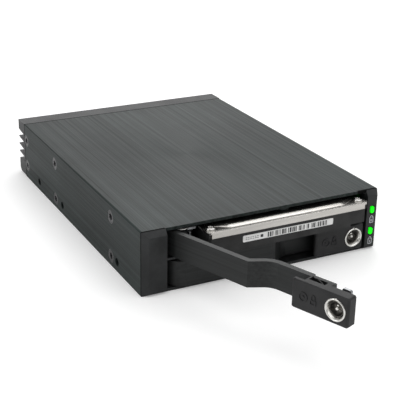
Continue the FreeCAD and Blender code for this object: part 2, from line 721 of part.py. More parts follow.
def left_guide():
    """Left guide: houses the ejectors and carries the hinge pin's ears."""
    body = guide("left_guide", -1, "wall_left",
                 ("sheet + guide_web - inner_half", "wall_left - guide_wall"),
                 "left_guide_front")
    ears = [hinge_ear("ear_low", "sheet", "sheet + guide_flange"),
            hinge_ear("ear_high", "ceiling - guide_flange", "ceiling")]
    whole = fuse("left_guide_whole", [body] + ears)
    bore = rod("left_guide_bore", "pin_radius + pin_play", "shell_height",
               ("hinge_x", "pin_y", "0"))
    relief = hole_relief("left_relief")
    node(cut("left_guide_cut", whole, [screw_seats("left_seats"), relief, bore]), "left_guide")


def right_guide():
    """Right guide, with the light board on its front end."""
    body = guide("right_guide", 1, "wall_right",
                 ("wall_right + guide_wall", "inner_half - sheet - guide_wall"),
                 "right_guide_front")
    relief = hole_relief("right_relief")
    node(cut("right_guide_cut", body, [screw_seats("right_seats"), relief]), "right_guide")


def mid_shelf():
    """Sheet between the bays; its left front corner is the middle hinge ear."""
    body = new_body("mid_shelf")
    sketch = new_sketch(body, "XY_Plane", "sheet + bay_height")
    corner = "front + left_guide_front - shelf_gap"
    add_polygon(sketch, [
        ("left_bezel_inner + 2 * shelf_gap", "front + shelf_gap"),
        ("wall_right", "front + shelf_gap"), ("wall_right", "front + guide_rear"),
        ("wall_left", "front + guide_rear"), ("wall_left", corner),
        ("left_bezel_inner + 2 * shelf_gap", corner)])
    pad(body, sketch, "shelf_sheet")
    bore = new_sketch(body, "XY_Plane", "sheet + bay_height")
    add_circle(bore, ("hinge_x", "pin_y"), "pin_radius + pin_play")
    pocket(body, bore, "shelf_sheet", True)
    node(body, "mid_shelf")


def hinge_pin():
    """One steel pin through both doors, the shelf and the ears."""
    node(rod("hinge_pin", "pin_radius", "ceiling - sheet", ("hinge_x", "pin_y", "sheet")),
         "hinge_pin")


# ---------------------------------------------------------------- bezels

def bezel(name, sign, inner, side_bevel):
    """Bezel: a tapered plate over the cover's front edge and a block inside it."""
    outer = "%d * half" % sign
    face = "%d * (half - %s)" % (sign, side_bevel)
    body = new_body(name)
    root = new_sketch(body, "XZ_Plane", "-front")
    add_polygon(root, rectangle((outer, inner), ("0", "shell_height - bezel_drop")))
    tip = new_sketch(body, "XZ_Plane", "bezel_proud - front")
    add_polygon(tip, rectangle((face, inner),
                               ("bezel_bevel_foot", "shell_height - bezel_bevel_top")))
    loft = body.newObject("PartDesign::AdditiveLoft", name + "_front")
    loft.Profile = root
    loft.Sections = [tip]
    loft.Ruled = True
    doc.recompute()
    back = new_sketch(body, "XZ_Plane", "-front - bezel_back")
    add_polygon(back, rectangle(("%d * inner_half" % sign, inner), ("sheet", "ceiling")))
    pad(body, back, "bezel_back")
    return body


def left_bezel():
    """Left bezel: its tongue reaches back to the left guide."""
    body = bezel("left_bezel", -1, "left_bezel_inner", "bezel_bevel_side")
    tongue = new_sketch(body, "XZ_Plane", "-front - left_guide_front")
    add_polygon(tongue, rectangle(("-inner_half", "bezel_tongue - inner_half"),
                                  ("sheet", "ceiling")))
    pad(body, tongue, "left_guide_front - bezel_back / 2")
    node(body, "left_bezel")


def right_bezel():
    """Right bezel: windows for the status lights and the strikes of both locks."""
    body = bezel("right_bezel", 1, "right_bezel_inner", "bezel_bevel_lights")
    rear_face = "-front - strike_front - strike_sheet"
    tongue = new_sketch(body, "XZ_Plane", rear_face)
    add_polygon(tongue, rectangle(("right_bezel_inner", "right_bezel_inner + strike_root"),
                                  ("sheet", "ceiling")))
    pad(body, tongue, "strike_front + strike_sheet - bezel_back / 2")
    gusset = new_sketch(body, "XZ_Plane", "-front - bezel_back")
    add_polygon(gusset, [
        ("right_bezel_inner + strike_root / 2", "ceiling"),
        ("right_bezel_inner - bezel_gusset", "ceiling"),
        ("right_bezel_inner", "ceiling - bezel_gusset"),
        ("right_bezel_inner + strike_root / 2", "ceiling - bezel_gusset")])
    pad(body, gusset, "bezel_back")
    for lift in ("0", "pitch"):
        strike = new_sketch(body, "XZ_Plane", rear_face)
        middle = "(lock_z + %s)" % lift
        add_polygon(strike, rectangle(
            ("right_bezel_inner - strike_length", "right_bezel_inner + strike_root / 2"),
            (middle + " - strike_height / 2", middle + " + strike_height / 2")))
        pad(body, strike, "strike_sheet")
    for lift in ("0", "light_pitch"):
        window = new_sketch(body, "XZ_Plane", "2 * bezel_proud - front")
        middle = "(light_low_z + %s)" % lift
        half_width = "(light_width / 2 + light_play)"
        half_height = "(light_height / 2 + light_play)"
        add_polygon(window, rectangle(
            ("light_x - " + half_width, "light_x + " + half_width),
            (middle + " - " + half_height, middle + " + " + half_height)))
        pocket(body, window, "2 * bezel_proud + 2 * bezel_back")
    node(body, "right_bezel")


def status_light(name, lift):
    """Clear light guide from the bezel's window to the light board."""
    body = new_body(name)
    sketch = new_sketch(body, "XZ_Plane", "bezel_proud + light_proud - front")
    middle = "(light_low_z + %s)" % lift
    sides = ("light_x - light_width / 2", "light_x + light_width / 2")
    ends = (middle + " - light_height / 2", middle + " + light_height / 2")
    add_polygon(sketch, rectangle(sides, ends))
    pad(body, sketch, "bezel_proud + light_proud + right_guide_front - board_sheet", True)
    corners = [(side, "0", end) for side in sides for end in ends]
    round_off(body, ALONG_Y, corners, "light_width / 2 - light_play / 2")
    node(body, name)


def light_board():
    """Small board that carries the two lights, on the right guide's front end."""
    node(box("light_board", ("wall_right + guide_wall / 2", "inner_half - light_play"),
             ("front + right_guide_front - board_sheet", "front + right_guide_front"),
             ("sheet + light_board_foot", "ceiling - light_board_foot")), "light_board")


# ---------------------------------------------------------------- rear

def backplane():
    """Upright circuit board with air slots beside the sockets."""
    body = new_body("backplane_board")
    sketch = new_sketch(body, "XZ_Plane", "-board_rear")
    add_polygon(sketch, rectangle(("-backplane_half", "backplane_half"),
                                  ("sheet", "ceiling - backplane_gap")))
    pad(body, sketch, "backplane_sheet")
    left = "(air_slot_side - backplane_half)"
    right = "(backplane_half - air_slot_side)"
    for sides in ((left, left + " + air_slot_left"), (right + " - air_slot_right", right)):
        slot = new_sketch(body, "XZ_Plane", "-board_rear")
        add_polygon(slot, rectangle(sides, ("sheet + air_slot_low", "ceiling - air_slot_high")))
        pocket(body, slot, "backplane_sheet", True)
    node(body, "backplane_board")


def drive_socket(name, place):
    """Socket on the backplane that a drive's connector slides into."""
    body = new_body(name)
    block = new_sketch(body, "XZ_Plane", "-board_front")
    add_polygon(block, rectangle(
        ("socket_middle - socket_width / 2", "socket_middle + socket_width / 2"),
        ("socket_z - socket_height / 2", "socket_z + socket_height / 2")))
    pad(body, block, "board_front - socket_front")
    slot = new_sketch(body, "XZ_Plane", "-socket_front")
    add_polygon(slot, rectangle(
        ("socket_middle - socket_slot_width / 2", "socket_middle + socket_slot_width / 2"),
        ("socket_z - socket_slot_height / 2", "socket_z + socket_slot_height / 2")))
    pocket(body, slot, "socket_slot_depth")
    node(body, name, place)


def rear_port(name, left, width):
    """Shrouded port on the backplane's rear face, with its keyed contact tongue."""
    body = new_body(name)
    right = "(%s + %s)" % (left, width)
    middle = "shell_height / 2"
    shell = new_sketch(body, "XZ_Plane", "-board_rear")
    add_polygon(shell, rectangle(
        (left, right), (middle + " - port_height / 2", middle + " + port_height / 2")))
    pad(body, shell, "port_length", True)
    mouth = new_sketch(body, "XZ_Plane", "-board_rear - port_length")
    add_polygon(mouth, rectangle(
        (left + " + port_wall", right + " - port_wall"),
        (middle + " - port_height / 2 + port_wall", middle + " + port_height / 2 - port_wall")))
    pocket(body, mouth, "port_length - port_wall", True)
    tongue = new_sketch(body, "XZ_Plane", "-board_rear - port_wall")
    tip = right + " - port_wall - port_tongue_gap"
    add_polygon(tongue, [
        (left + " + port_wall + port_tongue_gap", middle + " - port_tongue / 2"),
        (tip, middle + " - port_tongue / 2"), (tip, middle + " + port_tongue"),
        (tip + " - port_key", middle + " + port_tongue"),
        (tip + " - port_key", middle + " + port_tongue / 2"),
        (left + " + port_wall + port_tongue_gap", middle + " + port_tongue / 2")])
    pad(body, tongue, "port_length - port_wall - port_tongue_back", True)
    node(body, name)


def rear_ports():
    """Two data ports and one power port, side by side."""
    start = "(0 - data_port_width - port_gap - power_port_width / 2)"
    step = "data_port_width + port_gap"
    rear_port("lower_data_port", start, "data_port_width")
    rear_port("upper_data_port", "(%s + %s)" % (start, step), "data_port_width")
    rear_port("power_port", "(%s + 2 * (%s))" % (start, step), "power_port_width")


def rear_cap():
    """Moulded rear cap: wedge louvres across its width around a port window."""
    body = new_body("rear_cap_body")
    section = new_sketch(body, "YZ_Plane", "-half")
    tail = "rear + cap_depth"
    add_polygon(section, [
        ("rear", "cap_foot"), (tail + " - cap_bevel", "cap_foot"),
        (tail, "cap_foot + cap_bevel"), (tail, "shell_height"), ("rear", "shell_height")])
    pad(body, section, "shell_width")
    gap = new_sketch(body, "YZ_Plane", "-half")
    add_polygon(gap, [
        ("rear + cap_wall", "louvre_low_z"), (tail + " + cap_wall", "louvre_low_z"),
        (tail + " + cap_wall", "louvre_low_z + louvre_pitch - louvre_tip"),
        (tail, "louvre_low_z + louvre_pitch - louvre_tip"),
        ("rear + cap_wall", "louvre_low_z + louvre_pitch - louvre_root")])
    first = pocket(body, gap, "shell_width", True)
    rows = body.newObject("PartDesign::LinearPattern", "louvre_rows")
    rows.Originals = [first]
    rows.Direction = (origin_feature(body, "Z_Axis"), [""])
    rows.setExpression("Length", formula("louvre_pitch * (louvre_slots - 1)"))
    rows.setExpression("Occurrences", formula("louvre_slots"))
    body.Tip = rows
    doc.recompute()
    middle = new_sketch(body, "XZ_Plane", "-rear")
    add_polygon(middle, rectangle(("-window_frame", "window_frame"),
                                  ("louvre_low_z - cap_wall", "shell_height - cap_wall")))
    pad(body, middle, "cap_depth - louvre_tip", True)
    window = new_sketch(body, "XZ_Plane", "-rear")
    add_polygon(window, rectangle(("-window_half", "window_half"),
                                  ("window_low_z", "window_high_z")))
    pocket(body, window, "cap_depth + cap_wall")
    for sides in (("-inner_half", "cap_tongue - inner_half"),
                  ("inner_half - cap_tongue", "inner_half")):
        tongue = new_sketch(body, "XZ_Plane", "cap_tongue_length - rear")
        add_polygon(tongue, rectangle(sides, ("sheet", "ceiling")))
        pad(body, tongue, "cap_tongue_length + cap_wall / 2", True)
    node(cut("rear_cap_cut", body, [screw_seats("cap_seats")]), "rear_cap")


# ---------------------------------------------------------------- doors

def door_arm(name, place):
    """Door arm: rolled round its hinge at one end, with a crease and a finger recess."""
    pin = ("hinge_x", "pin_y")
    body = new_body(name)
    roll = new_sketch(body, "XY_Plane", "arm_low")
    add_circle(roll, pin, "roll_radius")
    add_circle(roll, pin, "roll_radius - arm_sheet")
    pad(body, roll, "arm_height")
    trim = new_sketch(body, "XY_Plane", "arm_low")
    left, right = "hinge_x - 2 * roll_radius", "hinge_x + 2 * roll_radius"
    near, far = "pin_y - 2 * roll_radius", "pin_y + 2 * roll_radius"
    add_polygon(trim, [
        ("hinge_x", near), (right, near), (right, far), (left, far),
        (left, "pin_y - tail_trim"), ("hinge_x", "pin_y - tail_trim")])
    pocket(body, trim, "arm_height", True)
    sketch = new_sketch(body, "XY_Plane", "arm_low")
    elbow = "crease_x + recess_depth"
    add_polygon(sketch, [
        ("hinge_x", "door_face"), ("crease_x", "door_face"), (elbow, "recess_back"),
        ("arm_end_x", "recess_back"), ("arm_end_x", "arm_tip_rear"),
        ("arm_step_x", "arm_tip_rear"), ("arm_step_x", "recess_back + arm_sheet"),
        (elbow + " - bend_shift", "recess_back + arm_sheet"),
        ("crease_x - bend_shift", "door_face + arm_sheet"),
        ("hinge_x", "door_face + arm_sheet")])
    pad(body, sketch, "arm_height")
    round_off(body, ALONG_Z, [(elbow, "recess_back", "0")], "recess_round")
    round_off(body, ALONG_Z, [(elbow + " - bend_shift", "recess_back + arm_sheet", "0")],
              "recess_round + arm_sheet")
    leg = new_sketch(body, "XY_Plane", "sheet + barrel_foot")
    add_polygon(leg, rectangle(("hinge_x - barrel_radius", "hinge_x + barrel_radius"),
                               ("door_face + arm_sheet / 2", "pin_y")))
    pad(body, leg, "barrel_top - barrel_foot")
    barrel = new_sketch(body, "XY_Plane", "sheet + barrel_foot")
    add_circle(barrel, pin, "barrel_radius")
    pad(body, barrel, "barrel_top - barrel_foot")
    lug = new_sketch(body, "XY_Plane", "sheet + barrel_top - lug_sheet")
    add_circle(lug, ("lug_x", "lug_y"), "lug_pad")
    pad(body, lug, "lug_sheet")
    stud = new_sketch(body, "XY_Plane", "sheet + barrel_top - lug_sheet / 2")
    add_circle(stud, ("lug_x", "lug_y"), "lug_pin")
    pad(body, stud, "ejector_top + pin_play - barrel_top + lug_sheet / 2")
    bore = new_sketch(body, "XY_Plane", "sheet")
    add_circle(bore, pin, "pin_radius + pin_play")
    pocket(body, bore, "bay_height", True)
    drill = new_sketch(body, "XZ_Plane", "arm_tip_sheet / 2 - recess_back")
    for across in ("screw_left_x", "screw_right_x"):
        add_polygon(drill, shank_hole((across, "sheet + block_screw_rise"),
                                      "small_screw + screw_play"))
    pocket(body, drill, "2 * arm_tip_sheet")
    node(body, name, place)


def latch_block(name, place):
    """Latch block: a lip over the recess, a pocket in its top and the lock's bore."""
    body = new_body(name)
    sketch = new_sketch(body, "XY_Plane", "door_low")
    add_polygon(sketch, [
        ("block_left", "door_face"), ("block_right", "door_face"),
        ("block_right", "block_rear"), ("arm_end_x", "block_rear"),
        ("arm_end_x", "recess_back"), ("lip_root", "recess_back"),
        ("lip_root", "door_face + lip_sheet"), ("block_left", "door_face + lip_sheet")])
    pad(body, sketch, "door_height")
    round_off(body, ALONG_Z, [("block_left", "door_face", "0"), ("block_right", "door_face", "0")],
              "block_round")
    round_off(body, ALONG_X, [("0", "door_face", "door_low"),
                              ("0", "door_face", "door_low + door_height")],
              "block_bevel", "Chamfer")
    boss = new_sketch(body, "XZ_Plane", "-boss_rear")
    add_circle(boss, ("lock_x", "lock_z"), "lock_boss")
    pad(body, boss, "boss_length + block_bevel")
    bore = new_sketch(body, "XZ_Plane", "block_bevel - door_face")
    add_circle(bore, ("lock_x", "lock_z"), "lock_tube + tube_play")
    pocket(body, bore, "block_depth + boss_length + 2 * block_bevel")
    well = new_sketch(body, "XY_Plane", "door_low + door_height - pocket_depth")
    add_polygon(well, rectangle(("pocket_left", "pocket_right"),
                                ("door_face + pocket_front", "recess_back + arm_tip_sheet")))
    pocket(body, well, "pocket_depth + block_bevel", True)
    drill = new_sketch(body, "XZ_Plane", "-recess_back - arm_tip_sheet")
    for across in ("screw_left_x", "screw_right_x"):
        add_polygon(drill, shank_hole((across, "sheet + block_screw_rise"),
                                      "small_screw + screw_play"))
    pocket(body, drill, "small_screw_length", True)
    node(body, name, place)


def block_screws(name, place):
    """Two pan head screws that hold the latch block on the arm from behind."""
    screws = []
    for number, across in enumerate(("screw_left_x", "screw_right_x")):
        part = "%s_%d" % (name, number)
        high = "sheet + block_screw_rise"
        head = rod(part + "_head", "small_head", "small_head_height",
                   (across, "arm_tip_rear + small_head_height", high), TO_FRONT)
        shank = prism(part + "_shank", SHANK_SIDES, "small_screw",
                      "small_screw_length - screw_play",
                      (across, "arm_tip_rear + small_head_height / 2", high), TO_FRONT)
        screws.append(fuse(part, [head, shank]))
    node(group(name + "_set", screws), name, place)


def detent_leaf(name, place):
    """Spring leaf that runs across the pocket from the arm to the front wall."""
    body = new_body(name)
    sketch = new_sketch(body, "XY_Plane", "door_low + door_height - pocket_depth")
    foot_left = "pocket_left + leaf_sheet / 2"
    foot_right = "pocket_left + 4 * leaf_sheet"
    tip = "pocket_right - leaf_sheet"
    near = "door_face + pocket_front + leaf_sheet / 2"
    add_polygon(sketch, [
        (foot_left, "recess_back"), (foot_left, "recess_back - leaf_sheet"),
        (foot_right, "recess_back - leaf_sheet"), (tip, near), (tip, near + " + leaf_sheet"),
        (foot_right + " + leaf_sheet / 2", "recess_back")])
    pad(body, sketch, "pocket_depth - leaf_sheet")
    node(body, name, place)


def lock_sleeve(name, place):
    """Lock sleeve: a notched ring on the block's face and a tube through the block."""
    body = new_body(name)
    ring = new_sketch(body, "XZ_Plane", "ring_proud - door_face")
    add_circle(ring, ("lock_x", "lock_z"), "lock_ring")
    pad(body, ring, "ring_proud", True)
    tube = new_sketch(body, "XZ_Plane", "ring_proud - door_face")
    add_circle(tube, ("lock_x", "lock_z"), "lock_tube")
    pad(body, tube, "ring_proud + block_depth + boss_length", True)
    bore = new_sketch(body, "XZ_Plane", "2 * ring_proud - door_face")
    add_circle(bore, ("lock_x", "lock_z"), "lock_bore")
    pocket(body, bore, "3 * ring_proud + block_depth + boss_length")
    centre = Vector(evaluate("lock_x"), evaluate("door_face - ring_proud"), evaluate("lock_z"))
    edges = edges_near(body.Tip.Shape, [(centre, evaluate("lock_ring"))])
    dress(body, "Chamfer", edges, "ring_bevel")
    notch = new_sketch(body, "XZ_Plane", "2 * ring_proud - door_face")
    add_polygon(notch, rectangle(
        ("lock_x - ring_notch / 2", "lock_x + ring_notch / 2"),
        ("lock_z + (lock_bore + lock_tube) / 2", "lock_z + lock_ring + ring_proud")))
    pocket(body, notch, "2 * ring_proud")
    node(body, name, place)


def lock_rotor(name, place):
    """Lock rotor: a bowl with a pointed post in front and a square spindle behind."""
    bowl_floor = "door_face - rotor_lip + bowl_depth"
    barrel = rod(name + "_barrel", "lock_bore - rotor_play",
                 "cam_front - door_face + rotor_lip", ("lock_x", "cam_front", "lock_z"), TO_FRONT)
    bowl = rod(name + "_bowl", "lock_bore - rotor_play - rotor_rim", "bowl_depth + rotor_lip",
               ("lock_x", bowl_floor, "lock_z"), TO_FRONT)
    notch = box(name + "_notch", ("lock_x - ring_notch / 2", "lock_x + ring_notch / 2"),
                ("door_face - 2 * rotor_lip", bowl_floor + " - post_length / 2"),
                ("lock_z + lock_bore - rotor_rim - 3 * rotor_play", "lock_z + lock_ring"))
    shell = cut(name + "_shell", barrel, [bowl, notch])
    post = cone(name + "_post", ("post_foot", "post_tip"), "post_length",
                ("lock_x", bowl_floor, "lock_z"), TO_FRONT)
    spindle = box(name + "_spindle", ("lock_x - spindle / 2", "lock_x + spindle / 2"),
                  ("cam_front - cam_sheet / 2", "cam_front + cam_sheet + spindle_end"),
                  ("lock_z - spindle / 2", "lock_z + spindle / 2"))
    node(fuse(name + "_whole", [shell, post, spindle]), name, place)


def lock_cam(name, place):
    """Lock cam on the rotor's spindle; turned to the right it catches the strike."""
    body = new_body(name)
    sketch = new_sketch(body, "XZ_Plane", "-cam_front - cam_sheet")
    sides = ("lock_x - cam_width / 2", "lock_x + cam_width / 2")
    ends = ("lock_z - cam_width / 2", "lock_z + cam_reach")
    add_polygon(sketch, rectangle(sides, ends))
    pad(body, sketch, "cam_sheet")
    round_off(body, ALONG_Y, [(side, "0", ends[0]) for side in sides], "cam_foot_round")
    round_off(body, ALONG_Y, [(side, "0", ends[1]) for side in sides], "cam_tip_round")
    bore = new_sketch(body, "XZ_Plane", "-cam_front - cam_sheet")
    reach = "(spindle / 2 + spindle_play)"
    add_polygon(bore, rectangle(("lock_x - " + reach, "lock_x + " + reach),
                                ("lock_z - " + reach, "lock_z + " + reach)))
    pocket(body, bore, "cam_sheet", True)
    node(body, name, place)


def ejector(name, place):
    """Ejector: a fork round the door's lug, a flat web and a hook behind the drive."""
    body = new_body(name)
    web = new_sketch(body, "XY_Plane", "sheet + ejector_foot")
    add_polygon(web, [
        ("web_left", "fork_rear - tine_width / 3"), ("web_right", "fork_rear - tine_width / 3"),
        ("web_right", "hook_front"), ("hook_end", "hook_front"),
        ("hook_end", "hook_front + ejector_sheet"), ("web_left", "hook_front + ejector_sheet")])
    pad(body, web, "ejector_top - ejector_foot")
    fork = new_sketch(body, "XY_Plane", "sheet + ejector_top - ejector_sheet")
    add_polygon(fork, [
        ("fork_left", "fork_front"), ("web_right", "fork_front"), ("web_right", "fork_rear"),
        ("fork_left", "fork_rear"), ("fork_left", "lug_y + fork_slot"),
        ("slot_end", "lug_y + fork_slot"), ("slot_end", "lug_y - fork_slot"),
        ("fork_left", "lug_y - fork_slot")])
    pad(body, fork, "ejector_sheet")
    node(body, name, place)


# ---------------------------------------------------------------- drive

DRIVE_PLACE = "placement(vector(0; -drive_out; pitch); %s)" % STILL


def drive_casting():
    """Drive casting: stepped front corner, plug recess, board recess and lid seat."""
    body = new_body("drive_casting")
    sketch = new_sketch(body, "XY_Plane", "drive_low")
    add_polygon(sketch, rectangle(("drive_left", "drive_right"), ("drive_front", "drive_rear")))
    pad(body, sketch, "rim_top - lid_sheet - drive_low")
    corners = [(side, end, "0") for side in ("drive_left", "drive_right")
               for end in ("drive_front", "drive_rear")]
    round_off(body, ALONG_Z, corners, "drive_round")
    seat = new_sketch(body, "XY_Plane", "rim_top - lid_skirt")
    add_polygon(seat, rectangle(
        ("drive_left - drive_round", "drive_right + drive_round"),
        ("drive_front - drive_round", "drive_front + skirt_sheet")))
    pocket(body, seat, "lid_skirt", True)
    step = new_sketch(body, "XY_Plane", "drive_low")
    add_polygon(step, rectangle(
        ("drive_right - casting_step", "drive_right + drive_round"),
        ("drive_front - drive_round", "drive_front + casting_step_depth")))
    pocket(body, step, "rim_top - lid_skirt - drive_low", True)
    plug = new_sketch(body, "XZ_Plane", "-plug_floor")
    add_polygon(plug, rectangle(
        ("socket_middle - socket_width / 2 - plug_play",
         "socket_middle + socket_width / 2 + plug_play"),
        ("socket_z - socket_height / 2 - plug_play", "socket_z + socket_height / 2 + plug_play")))
    pocket(body, plug, "plug_depth + plug_play")
    recess = new_sketch(body, "XY_Plane", "drive_low")
    add_polygon(recess, board_corners("0"))
    pocket(body, recess, "drive_board_sheet", True)
    drill = new_sketch(body, "XY_Plane", "rim_top - drive_screw_length")
    for place in drive_screw_places():
        add_polygon(drill, shank_hole(place, "drive_screw_shank + screw_play"))
    pocket(body, drill, "drive_screw_length", True)
    node(body, "drive_casting", DRIVE_PLACE)


def board_corners(inset):
    """Corners of the drive's circuit board, drawn in by an inset."""
    edge = "drive_board_inset + " + inset
    return rectangle(("drive_left + " + edge, "drive_right - (%s)" % edge),
                     ("drive_front + drive_board_start + " + inset,
                      "plug_floor - drive_board_inset - " + inset))


def drive_screw_places():
    """Formulas of the four lid screws' places."""
    return [(side, end)
            for side in ("drive_left + drive_screw_inset", "drive_right - drive_screw_inset")
            for end in ("drive_front + drive_screw_back", "drive_rear - drive_screw_back")]


def drive_lid():
    """Drive lid: a rim with a front skirt and a raised middle with a sloping shoulder."""
    body = new_body("drive_lid")
    rim = new_sketch(body, "XY_Plane", "rim_top - lid_sheet")
    add_polygon(rim, rectangle(("drive_left", "drive_right"), ("drive_front", "drive_rear")))
    pad(body, rim, "lid_sheet")
    corners = [(side, end, "0") for side in ("drive_left", "drive_right")
               for end in ("drive_front", "drive_rear")]
    round_off(body, ALONG_Z, corners, "drive_round")
    skirt = new_sketch(body, "XY_Plane", "rim_top - lid_skirt")
    add_polygon(skirt, rectangle(
        ("drive_left + drive_round", "drive_right - drive_round"),
        ("drive_front", "drive_front + skirt_sheet")))
    pad(body, skirt, "lid_skirt")
    middle = new_sketch(body, "XY_Plane", "rim_top - lid_sheet")
    left, right = "drive_left + lid_rim", "drive_right - lid_rim"
    low, high = "drive_front + lid_rim", "drive_rear - lid_rim"
    outline = [
        (left + " + lid_corner", low), (right + " - lid_corner", low),
        (right, low + " + lid_corner_back"), (right, high + " - lid_corner_back"),
        (right + " - lid_corner", high), (left + " + lid_corner", high),
        (left, high + " - lid_corner_back"), (left, low + " + lid_corner_back")]
    add_polygon(middle, outline)
    pad(body, middle, "lid_sheet + lid_rise")
    round_off(body, ALONG_Z, [(across, along, "0") for across, along in outline],
              "lid_corner_round")
    top = evaluate("rim_top + lid_rise")
    brim = ["Edge%d" % number for number, edge in enumerate(body.Tip.Shape.Edges, 1)
            if all(abs(corner.Z - top) < TOUCH for corner in edge.Vertexes)]
    shoulder = dress(body, "Chamfer", brim, "lid_shoulder")
    shoulder.ChamferType = "Two distances"
    shoulder.FlipDirection = True
    shoulder.setExpression("Size2", formula("lid_shoulder_drop"))
    doc.recompute()
    drill = new_sketch(body, "XY_Plane", "rim_top - 2 * lid_sheet")
    for place in drive_screw_places():
        add_polygon(drill, shank_hole(place, "drive_screw_shank + screw_play"))
    pocket(body, drill, "3 * lid_sheet", True)
    node(body, "drive_lid", DRIVE_PLACE)


def drive_screws():
    """Four screws in the corners of the drive's lid."""
    screws = []
    for number, (across, along) in enumerate(drive_screw_places()):
        name = "drive_screw_%d" % number
        head = prism(name + "_head", HEAD_SIDES, "drive_screw_head", "drive_screw_head_height",
                     (across, along, "rim_top"))
        shank = prism(name + "_shank", SHANK_SIDES, "drive_screw_shank",
                      "drive_screw_length - screw_play",
                      (across, along, "rim_top - drive_screw_length + screw_play"))
        screws.append(fuse(name, [head, shank]))
    node(group("drive_screw_set", screws), "drive_screws", DRIVE_PLACE)


def drive_connector():
    """Contact tongue on the floor of the drive's plug recess."""
    half_width = "(socket_slot_width / 2 - tongue_side_play)"
    tongue = box("drive_tongue",
                 ("socket_middle - " + half_width, "socket_middle + " + half_width),
                 ("plug_floor", "drive_rear - plug_gap"),
                 ("socket_z - tongue_sheet / 2", "socket_z + tongue_sheet / 2"))
    node(group("drive_tongue_set", [tongue]), "drive_connector", DRIVE_PLACE)


def drive_board():
    """Circuit board in the recess of the drive's underside."""
    body = new_body("drive_board")
    sketch = new_sketch(body, "XY_Plane", "drive_low")
    add_polygon(sketch, board_corners("board_play"))
    pad(body, sketch, "drive_board_sheet")
    node(body, "drive_board", DRIVE_PLACE)


# ---------------------------------------------------------------- assembly

top_cover()
bottom_tray()
left_guide()
right_guide()
mid_shelf()
hinge_pin()
side_screws()
left_bezel()
right_bezel()
light_board()
status_light("lower_status_light", "0")
status_light("upper_status_light", "light_pitch")
backplane()
rear_ports()
rear_cap()
for bay, fixed_place, door_place, ejector_place in BAYS:
    drive_socket(bay + "_drive_socket", fixed_place)
    door_arm(bay + "_door_arm", door_place)
    latch_block(bay + "_latch_block", door_place)
    block_screws(bay + "_block_screws", door_place)
    detent_leaf(bay + "_detent_leaf", door_place)
    lock_sleeve(bay + "_lock_sleeve", door_place)
    lock_rotor(bay + "_lock_rotor", door_place)
    lock_cam(bay + "_lock_cam", door_place)
    ejector(bay + "_ejector", ejector_place)
drive_casting()
drive_lid()
drive_screws()
drive_connector()
drive_board()

doc.recompute()
for item in doc.Objects:
    if "Invalid" in item.State or "Error" in item.State:
        raise RuntimeError("%s failed: %s" % (item.Name, item.State))
for item in NODES:
    if item.Shape.isNull() or not item.Shape.isValid():
        raise RuntimeError("%s has no valid shape" % item.Label)
for item in NODES:
    item.Shape.exportStep("parts/%s.step" % item.Label)
    print("%-22s %9.1f mm3  %d solids" % (item.Label, item.Shape.Volume, len(item.Shape.Solids)))
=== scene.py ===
import json
import logging
import math
from collections.abc import Mapping, Sequence
from dataclasses import dataclass
from enum import Enum

import bmesh
import bpy
import numpy as np
from mathutils import Matrix, Vector


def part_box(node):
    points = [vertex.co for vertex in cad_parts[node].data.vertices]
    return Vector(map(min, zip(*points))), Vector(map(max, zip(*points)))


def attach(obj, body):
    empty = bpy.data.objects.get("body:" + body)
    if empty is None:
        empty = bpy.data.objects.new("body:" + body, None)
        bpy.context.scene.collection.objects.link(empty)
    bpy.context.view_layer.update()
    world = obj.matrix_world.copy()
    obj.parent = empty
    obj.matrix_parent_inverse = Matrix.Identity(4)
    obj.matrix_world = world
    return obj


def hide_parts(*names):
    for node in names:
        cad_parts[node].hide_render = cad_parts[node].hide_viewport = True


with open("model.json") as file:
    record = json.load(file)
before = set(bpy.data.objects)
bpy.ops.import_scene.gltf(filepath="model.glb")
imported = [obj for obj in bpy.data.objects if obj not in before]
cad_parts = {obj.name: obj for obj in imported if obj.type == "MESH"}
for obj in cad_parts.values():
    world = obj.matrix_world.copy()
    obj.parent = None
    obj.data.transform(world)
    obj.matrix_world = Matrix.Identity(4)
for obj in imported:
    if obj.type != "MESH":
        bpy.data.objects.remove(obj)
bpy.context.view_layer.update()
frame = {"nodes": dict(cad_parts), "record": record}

LOG = logging.getLogger("drive_cage")
MM = 0.001

Array = np.ndarray
Shape = tuple[Array, list[tuple[int, ...]]]
Pair = tuple[float, float]
Triple = tuple[float, float, float]
Row = tuple[float, ...]
Table = tuple[Row, ...]
Tree = bpy.types.NodeTree
Node = bpy.types.Node
Socket = bpy.types.NodeSocket
Given = Node | Socket | float | Sequence[float]
Inputs = Mapping[str | int, Given]


# ---- mesh tools

def make_object(name: str, shape: Shape, smooth: float = 0.0) -> bpy.types.Object:
    """Put closed shapes, given in millimetres, into a new object at the origin.

    Args:
        name: Name of the new piece.
        shape: Points in millimetres and the faces' point numbers.
        smooth: Largest angle in degrees that is still shaded smooth; 0 keeps every edge.

    Returns:
        The object, linked to the scene, with its faces pointing outward.
    """
    points, faces = shape
    mesh = bpy.data.meshes.new(name)
    mesh.from_pydata((points * MM).tolist(), [], faces)
    form = bmesh.new()
    form.from_mesh(mesh)
    bmesh.ops.recalc_face_normals(form, faces=form.faces)
    for edge in form.edges:
        edge.smooth = edge.calc_face_angle(math.pi) < math.radians(smooth)
    form.to_mesh(mesh)
    form.free()
    mesh.polygons.foreach_set("use_smooth", np.full(len(mesh.polygons), smooth > 0))
    mesh.update()
    piece = bpy.data.objects.new(name, mesh)
    bpy.context.scene.collection.objects.link(piece)
    return piece


